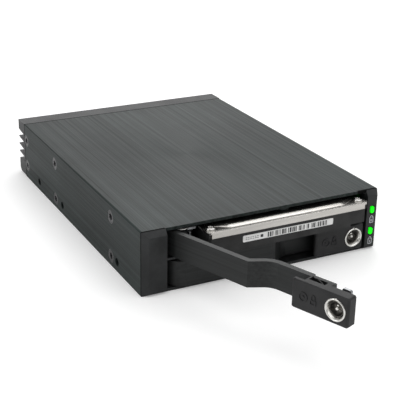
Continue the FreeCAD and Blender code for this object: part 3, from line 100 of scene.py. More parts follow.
def skinned(rings: Array, hollow: bool = False) -> Shape:
    """Skin rows of points that each run round a closed shape.

    A quad joins two neighbours in a row with the same two in the next row.

    Args:
        rings: Points by row, by place in the row and by axis.
        hollow: Joins the last row to the first instead of closing both ends.

    Returns:
        Points and faces.
    """
    rows, columns = rings.shape[:2]
    row, column = np.meshgrid(np.arange(rows if hollow else rows - 1), np.arange(columns),
                              indexing="ij")
    above, beside = (row + 1) % rows, (column + 1) % columns
    quads = np.stack([row * columns + column, row * columns + beside,
                      above * columns + beside, above * columns + column], axis=-1)
    faces = [tuple(quad) for quad in quads.reshape(-1, 4).tolist()]
    if not hollow:
        top = (rows - 1) * columns
        faces += [tuple(range(columns)), tuple(range(top, top + columns))]
    return rings.reshape(-1, 3), faces


def turned(profile: Sequence[Sequence[float]], steps: int, lobes: int = 0,
           hollow: bool = False) -> Shape:
    """Turn a profile about Z into a closed shape.

    At an angle round the axis a row's point lies at its own height, and at its radius plus
    the depth of its lobes times the cosine of that angle times the number of lobes.

    Args:
        profile: Rows of radius, height and, where it isn't 0, the depth of the lobes.
        steps: Points round each ring.
        lobes: How often the lobes repeat round the axis.
        hollow: Joins the last row to the first instead of closing both ends.

    Returns:
        Points and faces.
    """
    rows = np.array([(*row, 0.0)[:3] for row in profile])
    angle = np.linspace(0, 2 * math.pi, steps, endpoint=False)
    radius = rows[:, :1] + rows[:, 2:] * np.cos(lobes * angle)
    rings = np.stack([radius * np.cos(angle), radius * np.sin(angle),
                      np.broadcast_to(rows[:, 1:2], radius.shape)], axis=-1)
    return skinned(rings, hollow)


def stacked(*layers: tuple[Array, float]) -> Array:
    """Lay flat outlines of equally many points at their heights, one row each."""
    return np.stack([np.column_stack([outline, np.full(len(outline), height)])
                     for outline, height in layers])


def slab(outline: Array, low: float, high: float) -> Shape:
    """Raise a flat outline into a closed slab from one height to another."""
    return skinned(stacked((outline, low), (outline, high)))


def frame_slab(outer: Array, inner: Array, low: float, high: float) -> Shape:
    """Raise the band between two outlines of equally many points into a closed frame."""
    return skinned(stacked((outer, low), (outer, high), (inner, high), (inner, low)), True)


def oval(width: float, height: float, steps: int = 48, power: float = 2.0) -> Array:
    """Outline of an ellipse, or of a softly squared one.

    A point lies half the width times the angle's cosine across and half the height times its
    sine up, where cosine and sine keep their signs and are raised to 2 / power.

    Args:
        width: Whole width.
        height: Whole height.
        steps: Number of points.
        power: 2 for an ellipse, more for squarer corners.

    Returns:
        The points.
    """
    angle = np.linspace(0, 2 * math.pi, steps, endpoint=False)
    turns = np.column_stack([np.cos(angle), np.sin(angle)])
    return np.array([width, height]) / 2 * np.sign(turns) * np.abs(turns) ** (2 / power)


def rounded(width: float, height: float, radius: float, steps: int = 6) -> Array:
    """Outline of a rectangle round the origin whose corners are quarter circles.

    Args:
        width: Whole width.
        height: Whole height.
        radius: Radius of the corners.
        steps: Points in each corner.

    Returns:
        The points.
    """
    angle = np.linspace(0, math.pi / 2, steps)
    turns = (math.pi / 2 * np.arange(4))[:, None] + angle[None, :]
    sides = np.array([[1, 1], [-1, 1], [-1, -1], [1, -1]])[:, None, :]
    middles = sides * (np.array([width, height]) / 2 - radius)
    return (middles + radius * np.stack([np.cos(turns), np.sin(turns)], axis=-1)).reshape(-1, 2)


def block(size: Sequence[float], middle: Sequence[float]) -> Shape:
    """Make a closed box of a width, depth and height round its middle."""
    corners = np.array([[-1, -1], [1, -1], [1, 1], [-1, 1]]) * np.array(size[:2]) / 2
    return slab(corners + middle[:2], middle[2] - size[2] / 2, middle[2] + size[2] / 2)


def gather(shapes: Sequence[Shape]) -> Shape:
    """Join closed shapes.

    Args:
        shapes: The shapes.

    Returns:
        All points and faces, whose numbers are moved on by the points before them.
    """
    starts = np.cumsum([0] + [len(points) for points, _ in shapes[:-1]])
    faces = [tuple(number + int(start) for number in face)
             for start, (_, own) in zip(starts, shapes) for face in own]
    return np.vstack([points for points, _ in shapes]), faces


def moved(shape: Shape, place: Matrix) -> Shape:
    """Move a shape by a matrix in millimetres."""
    matrix = np.array(place)
    return shape[0] @ matrix[:3, :3].T + matrix[:3, 3], shape[1]


def at(x: float, y: float, z: float) -> Matrix:
    """Move to a point, in millimetres."""
    return Matrix.Translation((x, y, z))


# Turns for shapes that are drawn facing up, along Z.
TO_FRONT = Matrix.Rotation(math.radians(90), 4, "X")
TO_REAR = Matrix.Rotation(math.radians(-90), 4, "X") @ Matrix.Rotation(math.pi, 4, "Z")
TO_LEFT = Matrix.Rotation(math.radians(-90), 4, "Y")
TO_RIGHT = Matrix.Rotation(math.radians(90), 4, "Y")


# ---- places in the frame

def span(node: str) -> tuple[Array, Array]:
    """Lowest and highest corner of a CAD node at rest, in millimetres."""
    low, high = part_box(node)
    return np.array(low) / MM, np.array(high) / MM


JOINTS = {joint["name"]: joint for joint in frame["record"]["behaviour"]["joints"]}
OPEN = -JOINTS["upper_door_hinge"]["range_deg"][0]
PIN, LOCK, HIGH_LOCK = (np.array(JOINTS[name]["pos_m"]) / MM
                        for name in ("lower_door_hinge", "lower_lock_turn", "upper_lock_turn"))
PITCH = HIGH_LOCK[2] - LOCK[2]


@dataclass(frozen=True)
class Bay:
    """One drive bay: how far it is lifted, and how far its door stands open in degrees."""

    name: str
    lift: float
    angle: float

    def swing(self) -> Matrix:
        """Place of the door's pieces, which are drawn shut in the lower bay."""
        return (at(PIN[0], PIN[1], self.lift)
                @ Matrix.Rotation(math.radians(-self.angle), 4, "Z") @ at(-PIN[0], -PIN[1], 0))


BAYS = (Bay("lower", 0.0, 0.0), Bay("upper", PITCH, OPEN))


# ---- shader nodes

@dataclass(frozen=True)
class Wiring:
    """Adds nodes to a shader tree and fills their inputs.

    An input is given a socket, a node, which stands for its first output, or a value.
    """

    tree: Tree

    def fill(self, node: Node, inputs: Inputs) -> Node:
        """Link or set some of a node's inputs.

        Args:
            node: The node.
            inputs: What each input is given, by its name or number.

        Returns:
            The same node.
        """
        for key, given in inputs.items():
            source = given.outputs[0] if isinstance(given, Node) else given
            if isinstance(source, Socket):
                self.tree.links.new(source, node.inputs[key])
            else:
                node.inputs[key].default_value = source
        return node

    def add(self, kind: str, inputs: Inputs, operation: str = "") -> Node:
        """Add a node and fill its inputs.

        Args:
            kind: Its type, without the ShaderNode that it starts with.
            inputs: What each input is given.
            operation: What a Math or Vector Math node works out.

        Returns:
            The new node.
        """
        node = self.tree.nodes.new(f"ShaderNode{kind}")
        if operation:
            node.operation = operation
        return self.fill(node, inputs)

    def calculate(self, operation: str, *values: Given) -> Node:
        """Add a Math node that works out an operation on values."""
        return self.add("Math", dict(enumerate(values)), operation)

    def spread(self, value: Given, source: Pair, target: Pair) -> Node:
        """Add a node that maps a value from the source range to the target range."""
        return self.add("MapRange", {"Value": value, "From Min": source[0], "From Max": source[1],
                                     "To Min": target[0], "To Max": target[1]})

    def mix(self, kind: str, factor: Given, first: Given, second: Given) -> Socket:
        """Mix two colours or values.

        Args:
            kind: RGBA for colours, FLOAT for values.
            factor: Share of the second.
            first: First colour or value.
            second: Second colour or value.

        Returns:
            The mixed colour or value.
        """
        node = self.tree.nodes.new("ShaderNodeMix")
        node.data_type = kind
        return self.fill(node, {"Factor": factor, "A": first, "B": second}).outputs["Result"]

    def group(self, tree: Tree, inputs: Inputs) -> Node:
        """Place a node group.

        Args:
            tree: The group.
            inputs: What each of its inputs is given.

        Returns:
            The group's node.
        """
        node = self.tree.nodes.new("ShaderNodeGroup")
        node.node_tree = tree
        return self.fill(node, inputs)


class Effects:
    """Shader node groups that several finishes share."""

    def __init__(self) -> None:
        """Build every group once."""
        self.brushing = self._brushing()
        self.moulding = self._moulding()
        self.seam = self._seam_shade()

    @staticmethod
    def _group(name: str, inputs: Mapping[str, float | None], outputs: Sequence[str]
               ) -> tuple[Wiring, Node, Node]:
        """Start a group with its sockets.

        Args:
            name: Name of the group.
            inputs: Input names with their values; None makes a vector socket.
            outputs: Names of the value outputs.

        Returns:
            The group's wiring, its input node and its output node.
        """
        tree = bpy.data.node_groups.new(name, "ShaderNodeTree")
        for label, value in inputs.items():
            kind = "NodeSocketVector" if value is None else "NodeSocketFloat"
            socket = tree.interface.new_socket(label, in_out="INPUT", socket_type=kind)
            if value is not None:
                socket.default_value = value
        for label in outputs:
            tree.interface.new_socket(label, in_out="OUTPUT", socket_type="NodeSocketFloat")
        return Wiring(tree), tree.nodes.new("NodeGroupInput"), tree.nodes.new("NodeGroupOutput")

    def _brushing(self) -> Tree:
        """Make streaks along local Y from two stretched noises and a slow cloud.

        Returns:
            The group: Height is the fine streaks, Tone the broad ones with the cloud added.
        """
        wiring, given, out = self._group(
            "brushing", {"Vector": None, "Fineness": 5200.0, "Stretch": 0.006}, ("Height", "Tone"))
        cloud_share = 0.25
        vector = given.outputs["Vector"]
        along = wiring.add("CombineXYZ", {"X": 1.0, "Y": given.outputs["Stretch"], "Z": 1.0})
        stretched = wiring.add("VectorMath", {0: vector, 1: along}, "MULTIPLY")
        streaks = wiring.add("VectorMath", {0: stretched, "Scale": given.outputs["Fineness"]},
                             "SCALE")
        fine = wiring.add("TexNoise", {"Vector": streaks, "Scale": 1.0, "Detail": 3.0})
        broad = wiring.add("TexNoise", {"Vector": streaks, "Scale": 0.22, "Detail": 4.0,
                                        "Roughness": 0.65})
        cloud = wiring.add("TexNoise", {"Vector": vector, "Scale": 28.0, "Detail": 2.0})
        tone = wiring.calculate("MULTIPLY_ADD", cloud, cloud_share,
                                wiring.calculate("MULTIPLY", broad, 1.0 - cloud_share))
        wiring.fill(out, {"Height": fine, "Tone": tone})
        return wiring.tree

    def _moulding(self) -> Tree:
        """Make fine moulded or cast grain from small cells and noise, with slow mottling.

        Returns:
            The group: Height is the grain, Tone the mottling.
        """
        wiring, given, out = self._group(
            "moulding", {"Vector": None, "Grain": 5500.0, "Mottle": 120.0}, ("Height", "Tone"))
        vector, grain, mottle = (given.outputs[label] for label in ("Vector", "Grain", "Mottle"))
        cells = wiring.add("TexVoronoi", {"Vector": vector, "Scale": grain})
        cells.feature = "SMOOTH_F1"
        noise = wiring.add("TexNoise", {"Vector": vector, "Scale": grain, "Detail": 3.0})
        slow = wiring.add("TexNoise", {"Vector": vector, "Scale": mottle, "Detail": 3.0})
        wiring.fill(out, {"Height": wiring.calculate("ADD", cells, noise), "Tone": slow})
        return wiring.tree

    def _seam_shade(self) -> Tree:
        """Make a mask for the painted shade of the gaps at both ends of the cover.

        Returns:
            The group: Mask is 1 where Y is over Reach, and where Y is under minus Reach and X
            is further than Side from the middle.
        """
        wiring, given, out = self._group(
            "seam", {"Vector": None, "Reach": 0.06, "Side": 0.04}, ("Mask",))
        parts = wiring.add("SeparateXYZ", {0: given.outputs["Vector"]})
        reach, side = given.outputs["Reach"], given.outputs["Side"]
        across, along = (wiring.calculate("ABSOLUTE", parts.outputs[axis]) for axis in "XY")
        behind = wiring.calculate("GREATER_THAN", parts.outputs["Y"], reach)
        corners = wiring.calculate("MULTIPLY", wiring.calculate("GREATER_THAN", along, reach),
                                   wiring.calculate("GREATER_THAN", across, side))
        wiring.fill(out, {"Mask": wiring.calculate("MAXIMUM", behind, corners)})
        return wiring.tree


# ---- finishes

COAT_ROUGHNESS = 0.25
BUMP_HEIGHT = 0.08 * MM
# Painted shade laid on the cover's ends for the gaps at the bezels and the rear cap: how far out
# the front corners start, and its near-black colour.
SEAM_SHADE_SIDE = 41.5 * MM
SEAM_SHADE_COLOUR = (0.002, 0.002, 0.002, 1.0)


class Grain(Enum):
    """Surface effect of a finish; its value names the inputs that the finish's sizes set."""

    BRUSHED = ("Fineness", "Stretch")
    MOULDED = ("Grain", "Mottle")


@dataclass(frozen=True)
class Finish:
    """One surface finish.

    The grain's tone mixes dark and light into the base colour; its height shifts the
    roughness and feeds a bump.  Turn is the angle of the grain about Z, in degrees.  Where
    the seam shade is above zero, it is the distance along Y in metres beyond which the ends
    take painted shade: a near-black colour for the shade in the gaps at their neighbours.
    """

    name: str
    slot: str
    dark: Triple
    light: Triple
    roughness: Pair
    bump: float
    sizes: Pair
    grain: Grain = Grain.MOULDED
    metallic: float = 0.0
    specular: float = 0.5
    turn: float = 0.0
    coat: float = 0.0
    anisotropy: float = 0.0
    contrast: Pair = (0.35, 0.65)
    seam: float = 0.0
    glow: float = 0.0

    def build(self, effects: Effects) -> bpy.types.Material:
        """Make the material.

        Args:
            effects: The shared node groups.

        Returns:
            The finished material.
        """
        material = bpy.data.materials.new(self.name)
        material.use_nodes = True
        wiring = Wiring(material.node_tree)
        place = wiring.add("TexCoord", {}).outputs["Object"]
        along = wiring.add("Mapping", {"Vector": place,
                                       "Rotation": (0.0, 0.0, math.radians(self.turn))})
        effect = wiring.group(
            effects.brushing if self.grain is Grain.BRUSHED else effects.moulding,
            {"Vector": along, **dict(zip(self.grain.value, self.sizes))})
        height = effect.outputs["Height"]
        tone = wiring.spread(effect.outputs["Tone"], self.contrast, (0.0, 1.0))
        colour = wiring.mix("RGBA", tone, (*self.dark, 1.0), (*self.light, 1.0))
        rough: Given = wiring.spread(height, (0.0, 1.0), self.roughness)
        # Painted shade: where the mask is on, the colour goes near black and fully rough, standing
        # for the shade in the gaps at the cover's ends.
        if self.seam:
            seam_shade_mask = wiring.group(effects.seam, {"Vector": place, "Reach": self.seam,
                                               "Side": SEAM_SHADE_SIDE}).outputs["Mask"]
            colour = wiring.mix("RGBA", seam_shade_mask, colour, SEAM_SHADE_COLOUR)
            rough = wiring.mix("FLOAT", seam_shade_mask, rough, 1.0)
        bump = wiring.add("Bump", {"Strength": self.bump, "Distance": BUMP_HEIGHT,
                                   "Height": height})
        shader = wiring.fill(material.node_tree.nodes["Principled BSDF"], {
            "Base Color": colour, "Roughness": rough, "Normal": bump, "Metallic": self.metallic,
            "Specular IOR Level": self.specular, "Coat Weight": self.coat,
            "Coat Roughness": COAT_ROUGHNESS, "Anisotropic": self.anisotropy,
            "Emission Strength": self.glow})
        if self.glow:
            wiring.fill(shader, {"Emission Color": colour})
        return material


# Name, slot, dark and light colour, range of roughness, bump and the grain's two sizes.
FINISHES: tuple[Finish, ...] = (
    # The cover's seam value gives its ends painted shade for the gaps at the bezels and the rear
    # cap.
    Finish("cover_anodised", "brushed_cover", (0.0045, 0.0066, 0.0064), (0.031, 0.0405, 0.039),
           (0.34, 0.62), 0.6, (3600, 0.0038), grain=Grain.BRUSHED, metallic=0.14, specular=0.17,
           anisotropy=0.3, contrast=(0.36, 0.64), seam=0.0654),
    # Painted light: the upper, open arm gets a slightly lighter copy of the same anodised colour
    # than the lower, shut one, for the light it catches.
    *(Finish(f"arm_anodised_{bay.name}", "door_metal", (0.015, 0.016, 0.016), light,
             (0.38, 0.5), 0.22, (5200, 0.006), grain=Grain.BRUSHED, metallic=0.35,
             specular=0.35, turn=90.0 + bay.angle, anisotropy=0.3)
      for bay, light in zip(BAYS, ((0.026, 0.0275, 0.0275), (0.028, 0.0295, 0.0295)))),
    Finish("bezel_black", "bezel_black", (0.013, 0.014, 0.0145), (0.024, 0.0255, 0.0265),
           (0.38, 0.5), 0.45, (5200, 140), metallic=0.25, specular=0.4),
    Finish("block_plastic", "block_black", (0.007, 0.007, 0.0075), (0.013, 0.013, 0.0138),
           (0.42, 0.56), 0.38, (4200, 160), specular=0.4),
    Finish("cap_plastic", "black_plastic", (0.02, 0.02, 0.021), (0.04, 0.041, 0.042),
           (0.42, 0.56), 0.55, (3800, 110), specular=0.4),
    Finish("guide_plastic", "guide_plastic", (0.004, 0.004, 0.004), (0.012, 0.012, 0.012),
           (0.5, 0.65), 0.4, (4200, 120), specular=0.3),
    Finish("tray_steel", "tray", (0.03, 0.031, 0.032), (0.06, 0.062, 0.063),
           (0.34, 0.48), 0.25, (1800, 260), metallic=0.8),
    Finish("pin_steel", "pin_steel", (0.55, 0.54, 0.52), (0.78, 0.77, 0.75),
           (0.14, 0.26), 0.1, (5200, 0.05), grain=Grain.BRUSHED, metallic=1.0),
    Finish("screw_black", "screw_black", (0.03, 0.03, 0.032), (0.075, 0.075, 0.077),
           (0.2, 0.34), 0.2, (5600, 300), metallic=0.7),
    Finish("lock_nickel", "lock_chrome", (0.62, 0.61, 0.58), (0.84, 0.83, 0.8),
           (0.14, 0.26), 0.1, (2600, 400), metallic=1.0),
    # Painted shade: a darkened copy of the lock steel for the hollow of the lock's bowl.
    Finish("lock_bowl", "lock_steel", (0.08, 0.077, 0.072), (0.23, 0.22, 0.205),
           (0.24, 0.42), 0.3, (2400, 900), metallic=1.0),
    Finish("zinc_steel", "lock_steel", (0.26, 0.27, 0.28), (0.44, 0.45, 0.46),
           (0.26, 0.4), 0.2, (1800, 350), metallic=1.0),
    Finish("board_mask", "circuit_board", (0.006, 0.045, 0.022), (0.012, 0.08, 0.038),
           (0.28, 0.42), 0.2, (2600, 600), coat=0.3),
    Finish("board_black", "circuit_board", (0.003, 0.003, 0.003), (0.009, 0.009, 0.009),
           (0.35, 0.5), 0.2, (2600, 600)),
    Finish("connector_plastic", "connector_black", (0.006, 0.006, 0.006), (0.014, 0.014, 0.015),
           (0.36, 0.5), 0.3, (4800, 200)),
    Finish("contact_gold", "pin_steel", (0.62, 0.4, 0.14), (0.85, 0.6, 0.26),
           (0.18, 0.3), 0.1, (3200, 800), metallic=1.0),
    Finish("solder_tin", "pin_steel", (0.48, 0.49, 0.5), (0.68, 0.69, 0.7),
           (0.26, 0.44), 0.25, (2600, 900), metallic=1.0),
    Finish("chip_resin", "connector_black", (0.01, 0.01, 0.011), (0.022, 0.022, 0.023),
           (0.46, 0.6), 0.35, (5200, 700)),
    Finish("drive_casting", "drive_metal", (0.012, 0.012, 0.012), (0.026, 0.026, 0.026),
           (0.34, 0.46), 0.3, (3000, 130), metallic=0.3, specular=0.4),
    Finish("drive_lid", "drive_lid", (0.46, 0.445, 0.42), (0.6, 0.58, 0.55),
           (0.22, 0.3), 0.04, (3000, 0.02), grain=Grain.BRUSHED, metallic=1.0, turn=90.0),
    Finish("label_paper", "", (0.7, 0.7, 0.69), (0.8, 0.8, 0.79),
           (0.45, 0.6), 0.15, (3600, 500)),
    Finish("label_ink", "", (0.012, 0.012, 0.013), (0.04, 0.04, 0.042),
           (0.45, 0.6), 0.15, (3600, 900)),
    Finish("icon_print", "", (0.38, 0.39, 0.42), (0.54, 0.55, 0.58),
           (0.45, 0.6), 0.15, (3600, 900)),
    Finish("status_green", "light", (0, 0.62, 0.0), (0.001, 0.86, 0.003),
           (0.25, 0.35), 0.05, (1800, 700), specular=0.2, glow=0.9),
)


class Palette:
    """Every material of the scene, by name."""

    def __init__(self) -> None:
        """Build the groups and the materials."""
        effects = Effects()
        self.materials = {finish.name: finish.build(effects) for finish in FINISHES}
        self.slots = {finish.name: finish.slot for finish in FINISHES}

    def dress(self, piece: bpy.types.Object, name: str) -> None:
        """Give a piece one material."""
        piece.data.materials.clear()
        piece.data.materials.append(self.materials[name])

    def add(self, name: str, shape: Shape, finish: str, body: str, smooth: float = 0.0,
            instead: Sequence[str] = ()) -> None:
        """Make a finished new piece that rides on a body.

        Args:
            name: Name of the piece.
            shape: Its points in millimetres and its faces.
            finish: Name of its finish.
            body: Body that it moves with.
            smooth: Largest angle in degrees that is shaded smooth.
            instead: CAD nodes that it stands for.
        """
        piece = make_object(name, shape, smooth)
        self.dress(piece, finish)
        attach(piece, body)
        if instead:
            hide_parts(*instead)
        LOG.info("added %s, %d faces", name, len(piece.data.polygons))


WELD_DISTANCE = 0.002 * MM
SHARP_ANGLE = 28.0


@dataclass(frozen=True)
class Dressing:
    """How CAD nodes are finished: their material and the width of their broken edges."""

    finish: str
    nodes: tuple[str, ...]
    edge: float = 0.0
    segments: int = 2

    def build(self, palette: Palette) -> None:
        """Give the nodes their finish and break their sharp edges.

        Args:
            palette: The materials.
        """
        for node in self.nodes:
            piece = frame["nodes"][node]
            palette.dress(piece, self.finish)
            if self.edge:
                weld = piece.modifiers.new("weld", "WELD")
                weld.merge_threshold = WELD_DISTANCE
                bevel = piece.modifiers.new("edge", "BEVEL")
                bevel.width = self.edge * MM
                bevel.segments = self.segments
                bevel.limit_method = "ANGLE"
                bevel.angle_limit = math.radians(SHARP_ANGLE)
            LOG.info("dressed %s in %s", node, self.finish)


DRESSINGS: tuple[Dressing, ...] = (
    Dressing("cover_anodised", ("top_cover",), 0.12),
    Dressing("tray_steel", ("bottom_tray", "mid_shelf")),
    Dressing("guide_plastic", ("left_guide", "right_guide")),
    Dressing("pin_steel", ("hinge_pin",), 0.15),
    Dressing("bezel_black", ("left_bezel", "right_bezel"), 0.3, 3),
    Dressing("board_black", ("light_board",)),
    Dressing("status_green", ("lower_status_light", "upper_status_light"), 0.06),
    Dressing("board_mask", ("backplane_board", "drive_board")),
    Dressing("connector_plastic", ("lower_data_port", "upper_data_port", "power_port",
                                   "lower_drive_socket", "upper_drive_socket",
                                   "drive_connector"), 0.08),
    Dressing("cap_plastic", ("rear_cap",), 0.12),
    Dressing("arm_anodised_lower", ("lower_door_arm",), 0.18),
    Dressing("arm_anodised_upper", ("upper_door_arm",), 0.18),
    Dressing("block_plastic", ("lower_latch_block", "upper_latch_block"), 0.35, 3),
    Dressing("guide_plastic", ("lower_detent_leaf", "upper_detent_leaf")),
    Dressing("zinc_steel", ("lower_lock_cam", "upper_lock_cam", "lower_ejector",
                            "upper_ejector"), 0.08),
    Dressing("drive_casting", ("drive_casting",), 0.2),
    Dressing("drive_lid", ("drive_lid",), 0.22, 3),
)


# ---- fasteners

@dataclass
class Fasteners:
    """Screws with six-lobed recesses in place of the plain ones.

    A profile's rows hold the radius, the height above the seat and any depth of the lobes.
    The side's places run from the cover's front and from the ground.
    """

    palette: Palette
    side_places: Table = (
        (28.4, 4.0), (28.4, 20.2), (90.8, 4.0), (90.8, 20.2), (129.3, 6.1), (129.3, 18.1))
    side_profile: Table = (
        (1.2, -4.2), (1.2, -1.3), (2.66, -0.12), (2.7, -0.06), (2.6, -0.01), (2.45, -0.01),
        (2.38, -0.07), (1.6, -0.07), (1.32, -0.09, 0.18), (1.26, -0.16, 0.18), (1.2, -0.9, 0.18))
    lid_inset: float = 2.6
    lid_back: float = 3.5
    lid_skirt: float = 2.5
    lid_profile: Table = (
        (0.7, -1.8), (0.7, 0.0), (1.7, 0.0), (1.75, 0.12), (1.72, 0.38), (1.55, 0.6),
        (1.25, 0.69), (1.05, 0.68), (0.9, 0.6, 0.12), (0.84, 0.5, 0.12), (0.8, 0.15, 0.12))
    block_across: Pair = (28.4, 32.6)
    block_up: float = 4.2
    block_head: float = 0.6
    block_profile: Table = (
        (0.75, -3.4), (0.75, 0.0), (1.52, 0.0), (1.58, 0.1), (1.5, 0.38), (1.25, 0.55),
        (0.95, 0.59), (0.74, 0.56, 0.1), (0.68, 0.45, 0.1), (0.64, 0.15, 0.1))
    steps: int = 60
    lobes: int = 6
    smooth: float = 40.0

    def build(self) -> None:
        """Make the side's, the lid's and the latch blocks' screws."""
        self._replace("side_screws", self.side_profile, self._side_places(), "screw_black",
                      "chassis")
        self._replace("drive_screws", self.lid_profile, self._lid_places(), "pin_steel", "drive")
        for bay in BAYS:
            self._replace(f"{bay.name}_block_screws", self.block_profile,
                          self._block_places(bay), "screw_black", f"{bay.name}_door")

    def _replace(self, node: str, profile: Table, places: Sequence[Matrix],
                 finish: str, body: str) -> None:
        """Put detailed screws in place of a CAD node's plain ones.

        Args:
            node: The CAD node.
            profile: Profile of a detailed screw, facing up along Z.
            places: Where the screws sit.
            finish: Name of their finish.
            body: Body that they move with.
        """
        screw = turned(profile, self.steps, self.lobes)
        self.palette.add(f"{node.removesuffix('s')}_detail",
                         gather([moved(screw, place) for place in places]), finish, body,
                         self.smooth, (node,))

    def _side_places(self) -> list[Matrix]:
        """Six places on each side of the cover, flush with its sheet."""
        low, high = span("top_cover")
        return [at(x, low[1] + along, up) @ turn
                for x, turn in ((low[0], TO_LEFT), (high[0], TO_RIGHT))
                for along, up in self.side_places]

    def _lid_places(self) -> list[Matrix]:
        """Four places in the corners of the drive's lid."""
        low, high = span("drive_lid")
        return [at(x, y, low[2] + self.lid_skirt)
                for x in (low[0] + self.lid_inset, high[0] - self.lid_inset)
                for y in (low[1] + self.lid_back, high[1] - self.lid_back)]

    def _block_places(self, bay: Bay) -> list[Matrix]:
        """Two places behind a door's arm, where its latch block is held."""
        rear = span("lower_block_screws")[1][1] - self.block_head
        return [bay.swing() @ at(x, rear, self.block_up) @ TO_REAR for x in self.block_across]


# ---- locks and doors

@dataclass
class LockFace:
    """Key lock seen from the front: a notched bright ring, a bowl in darkened steel as painted
    shade for its hollow, and its post.

    The profiles' rows hold the radius and the height in front of the block's face.
    """

    palette: Palette
    ring: Table = (
        (2.78, -5.8), (3.18, -5.8), (3.18, 0.0), (3.96, 0.0), (3.99, 0.12), (3.93, 0.34),
        (3.74, 0.48), (3.5, 0.48), (3.34, 0.38), (3.18, 0.1), (2.96, -0.3), (2.78, -0.62))
    bowl: Table = (
        (2.68, -5.85), (2.68, -0.66), (2.62, -0.56), (2.52, -0.56), (2.44, -0.7),
        (2.38, -1.3), (2.2, -2.1), (1.8, -2.7), (1.3, -2.96), (1.0, -2.98))
    post: Table = (
        (1.05, -3.1), (0.98, -2.6), (0.86, -1.7), (0.62, -0.9), (0.34, -0.55), (0.12, -0.48))
    notch: float = 0.9
    notch_floor: float = 0.02
    spindle: Triple = (1.3, 1.3, 1.3)
    key: Triple = (0.5, 0.9, 1.6)
    key_middle: Triple = (0.0, 0.75, -2.2)
    steps: int = 96
    post_steps: int = 32
    smooth: float = 35.0

    def build(self, bay: Bay) -> None:
        """Make one bay's lock in place of its plain sleeve and rotor.

        Args:
            bay: The bay whose door carries the lock.
        """
        lock = f"{bay.name}_lock"
        place = bay.swing() @ at(*LOCK) @ TO_FRONT
        self.palette.add(f"{lock}_ring_detail", moved(self._notched_ring(), place),
                         "lock_nickel", f"{bay.name}_door", self.smooth, (f"{lock}_sleeve",))
        spindle = block(self.spindle, (0, 0, self.bowl[0][1] - self.spindle[2] / 2))
        bowl = gather([turned(self.bowl, self.steps), spindle])
        # The bowl takes the darkened steel, painted shade for its hollow.
        self.palette.add(f"{lock}_bowl_detail", moved(bowl, place), "lock_bowl", lock,
                         self.smooth, (f"{lock}_rotor",))
        post = gather([turned(self.post, self.post_steps), block(self.key, self.key_middle)])
        self.palette.add(f"{lock}_post_detail", moved(post, place), "lock_nickel", lock,
                         self.smooth)

    def _notched_ring(self) -> Shape:
        """Turn the ring and press its top points down to the notch's floor.

        Returns:
            Points and faces.
        """
        points, faces = turned(self.ring, self.steps, hollow=True)
        pressed = (np.abs(points[:, 0]) < self.notch / 2) & (points[:, 1] > 0)
        points[pressed, 2] = np.minimum(points[pressed, 2], self.notch_floor)
        return points, faces


@dataclass
class DoorMarks:
    """Low raised marks on a latch block: a plain ring round a dot, and a plain padlock."""

    palette: Palette
    ring_x: float = 27.1
    ring: Pair = (3.5, 2.7)
    dot: float = 1.0
    dot_steps: int = 24
    padlock_x: float = 31.0
    padlock_outer: Triple = (2.5, 1.9, 0.35)
    padlock_inner: Triple = (1.7, 1.1, 0.2)
    padlock_drop: float = 0.8
    shackle_outer: Pair = (1.7, 2.6)
    shackle_inner: Pair = (1.0, 1.9)
    shackle_power: float = 2.6
    shackle_rise: float = 0.7
    proud: float = 0.22
    sunk: float = 0.1

    def build(self, bay: Bay) -> None:
        """Raise the marks on one bay's block.

        Args:
            bay: The bay whose door carries the block.
        """
        low, high = -self.sunk, self.proud
        outer, inner = (oval(size, size) for size in self.ring)
        dot = slab(oval(self.dot, self.dot, self.dot_steps), low, high)
        ring = gather([frame_slab(outer, inner, low, high), dot])
        body = frame_slab(rounded(*self.padlock_outer), rounded(*self.padlock_inner), low, high)
        outer, inner = (oval(*size, power=self.shackle_power)
                        for size in (self.shackle_outer, self.shackle_inner))
        shackle = frame_slab(outer, inner, low, high)
        marks = gather([moved(ring, at(self.ring_x, 0, 0)),
                        moved(body, at(self.padlock_x, -self.padlock_drop, 0)),
                        moved(shackle, at(self.padlock_x, self.shackle_rise, 0))])
        place = bay.swing() @ at(0, LOCK[1], LOCK[2]) @ TO_FRONT
        self.palette.add(f"{bay.name}_door_marks", moved(marks, place), "block_plastic",
                         f"{bay.name}_door")


@dataclass
class HingeClip:
    """Round wire clip on top of the upper door's hinge."""

    palette: Palette
    radius: float = 3.75
    wire: float = 0.28
    wire_steps: int = 16
    steps: int = 64
    drop: float = 1.2
    smooth: float = 60.0

    def build(self) -> None:
        """Lay the clip round the pin: a circle of wire turned about the hinge's axis."""
        wire = oval(2 * self.wire, 2 * self.wire, self.wire_steps) + (self.radius, 0)
        place = at(PIN[0], PIN[1], span("hinge_pin")[1][2] - self.drop)
        self.palette.add("hinge_clip", moved(turned(wire, self.steps, hollow=True), place),
                         "pin_steel", "chassis", self.smooth)


# ---- printed marks

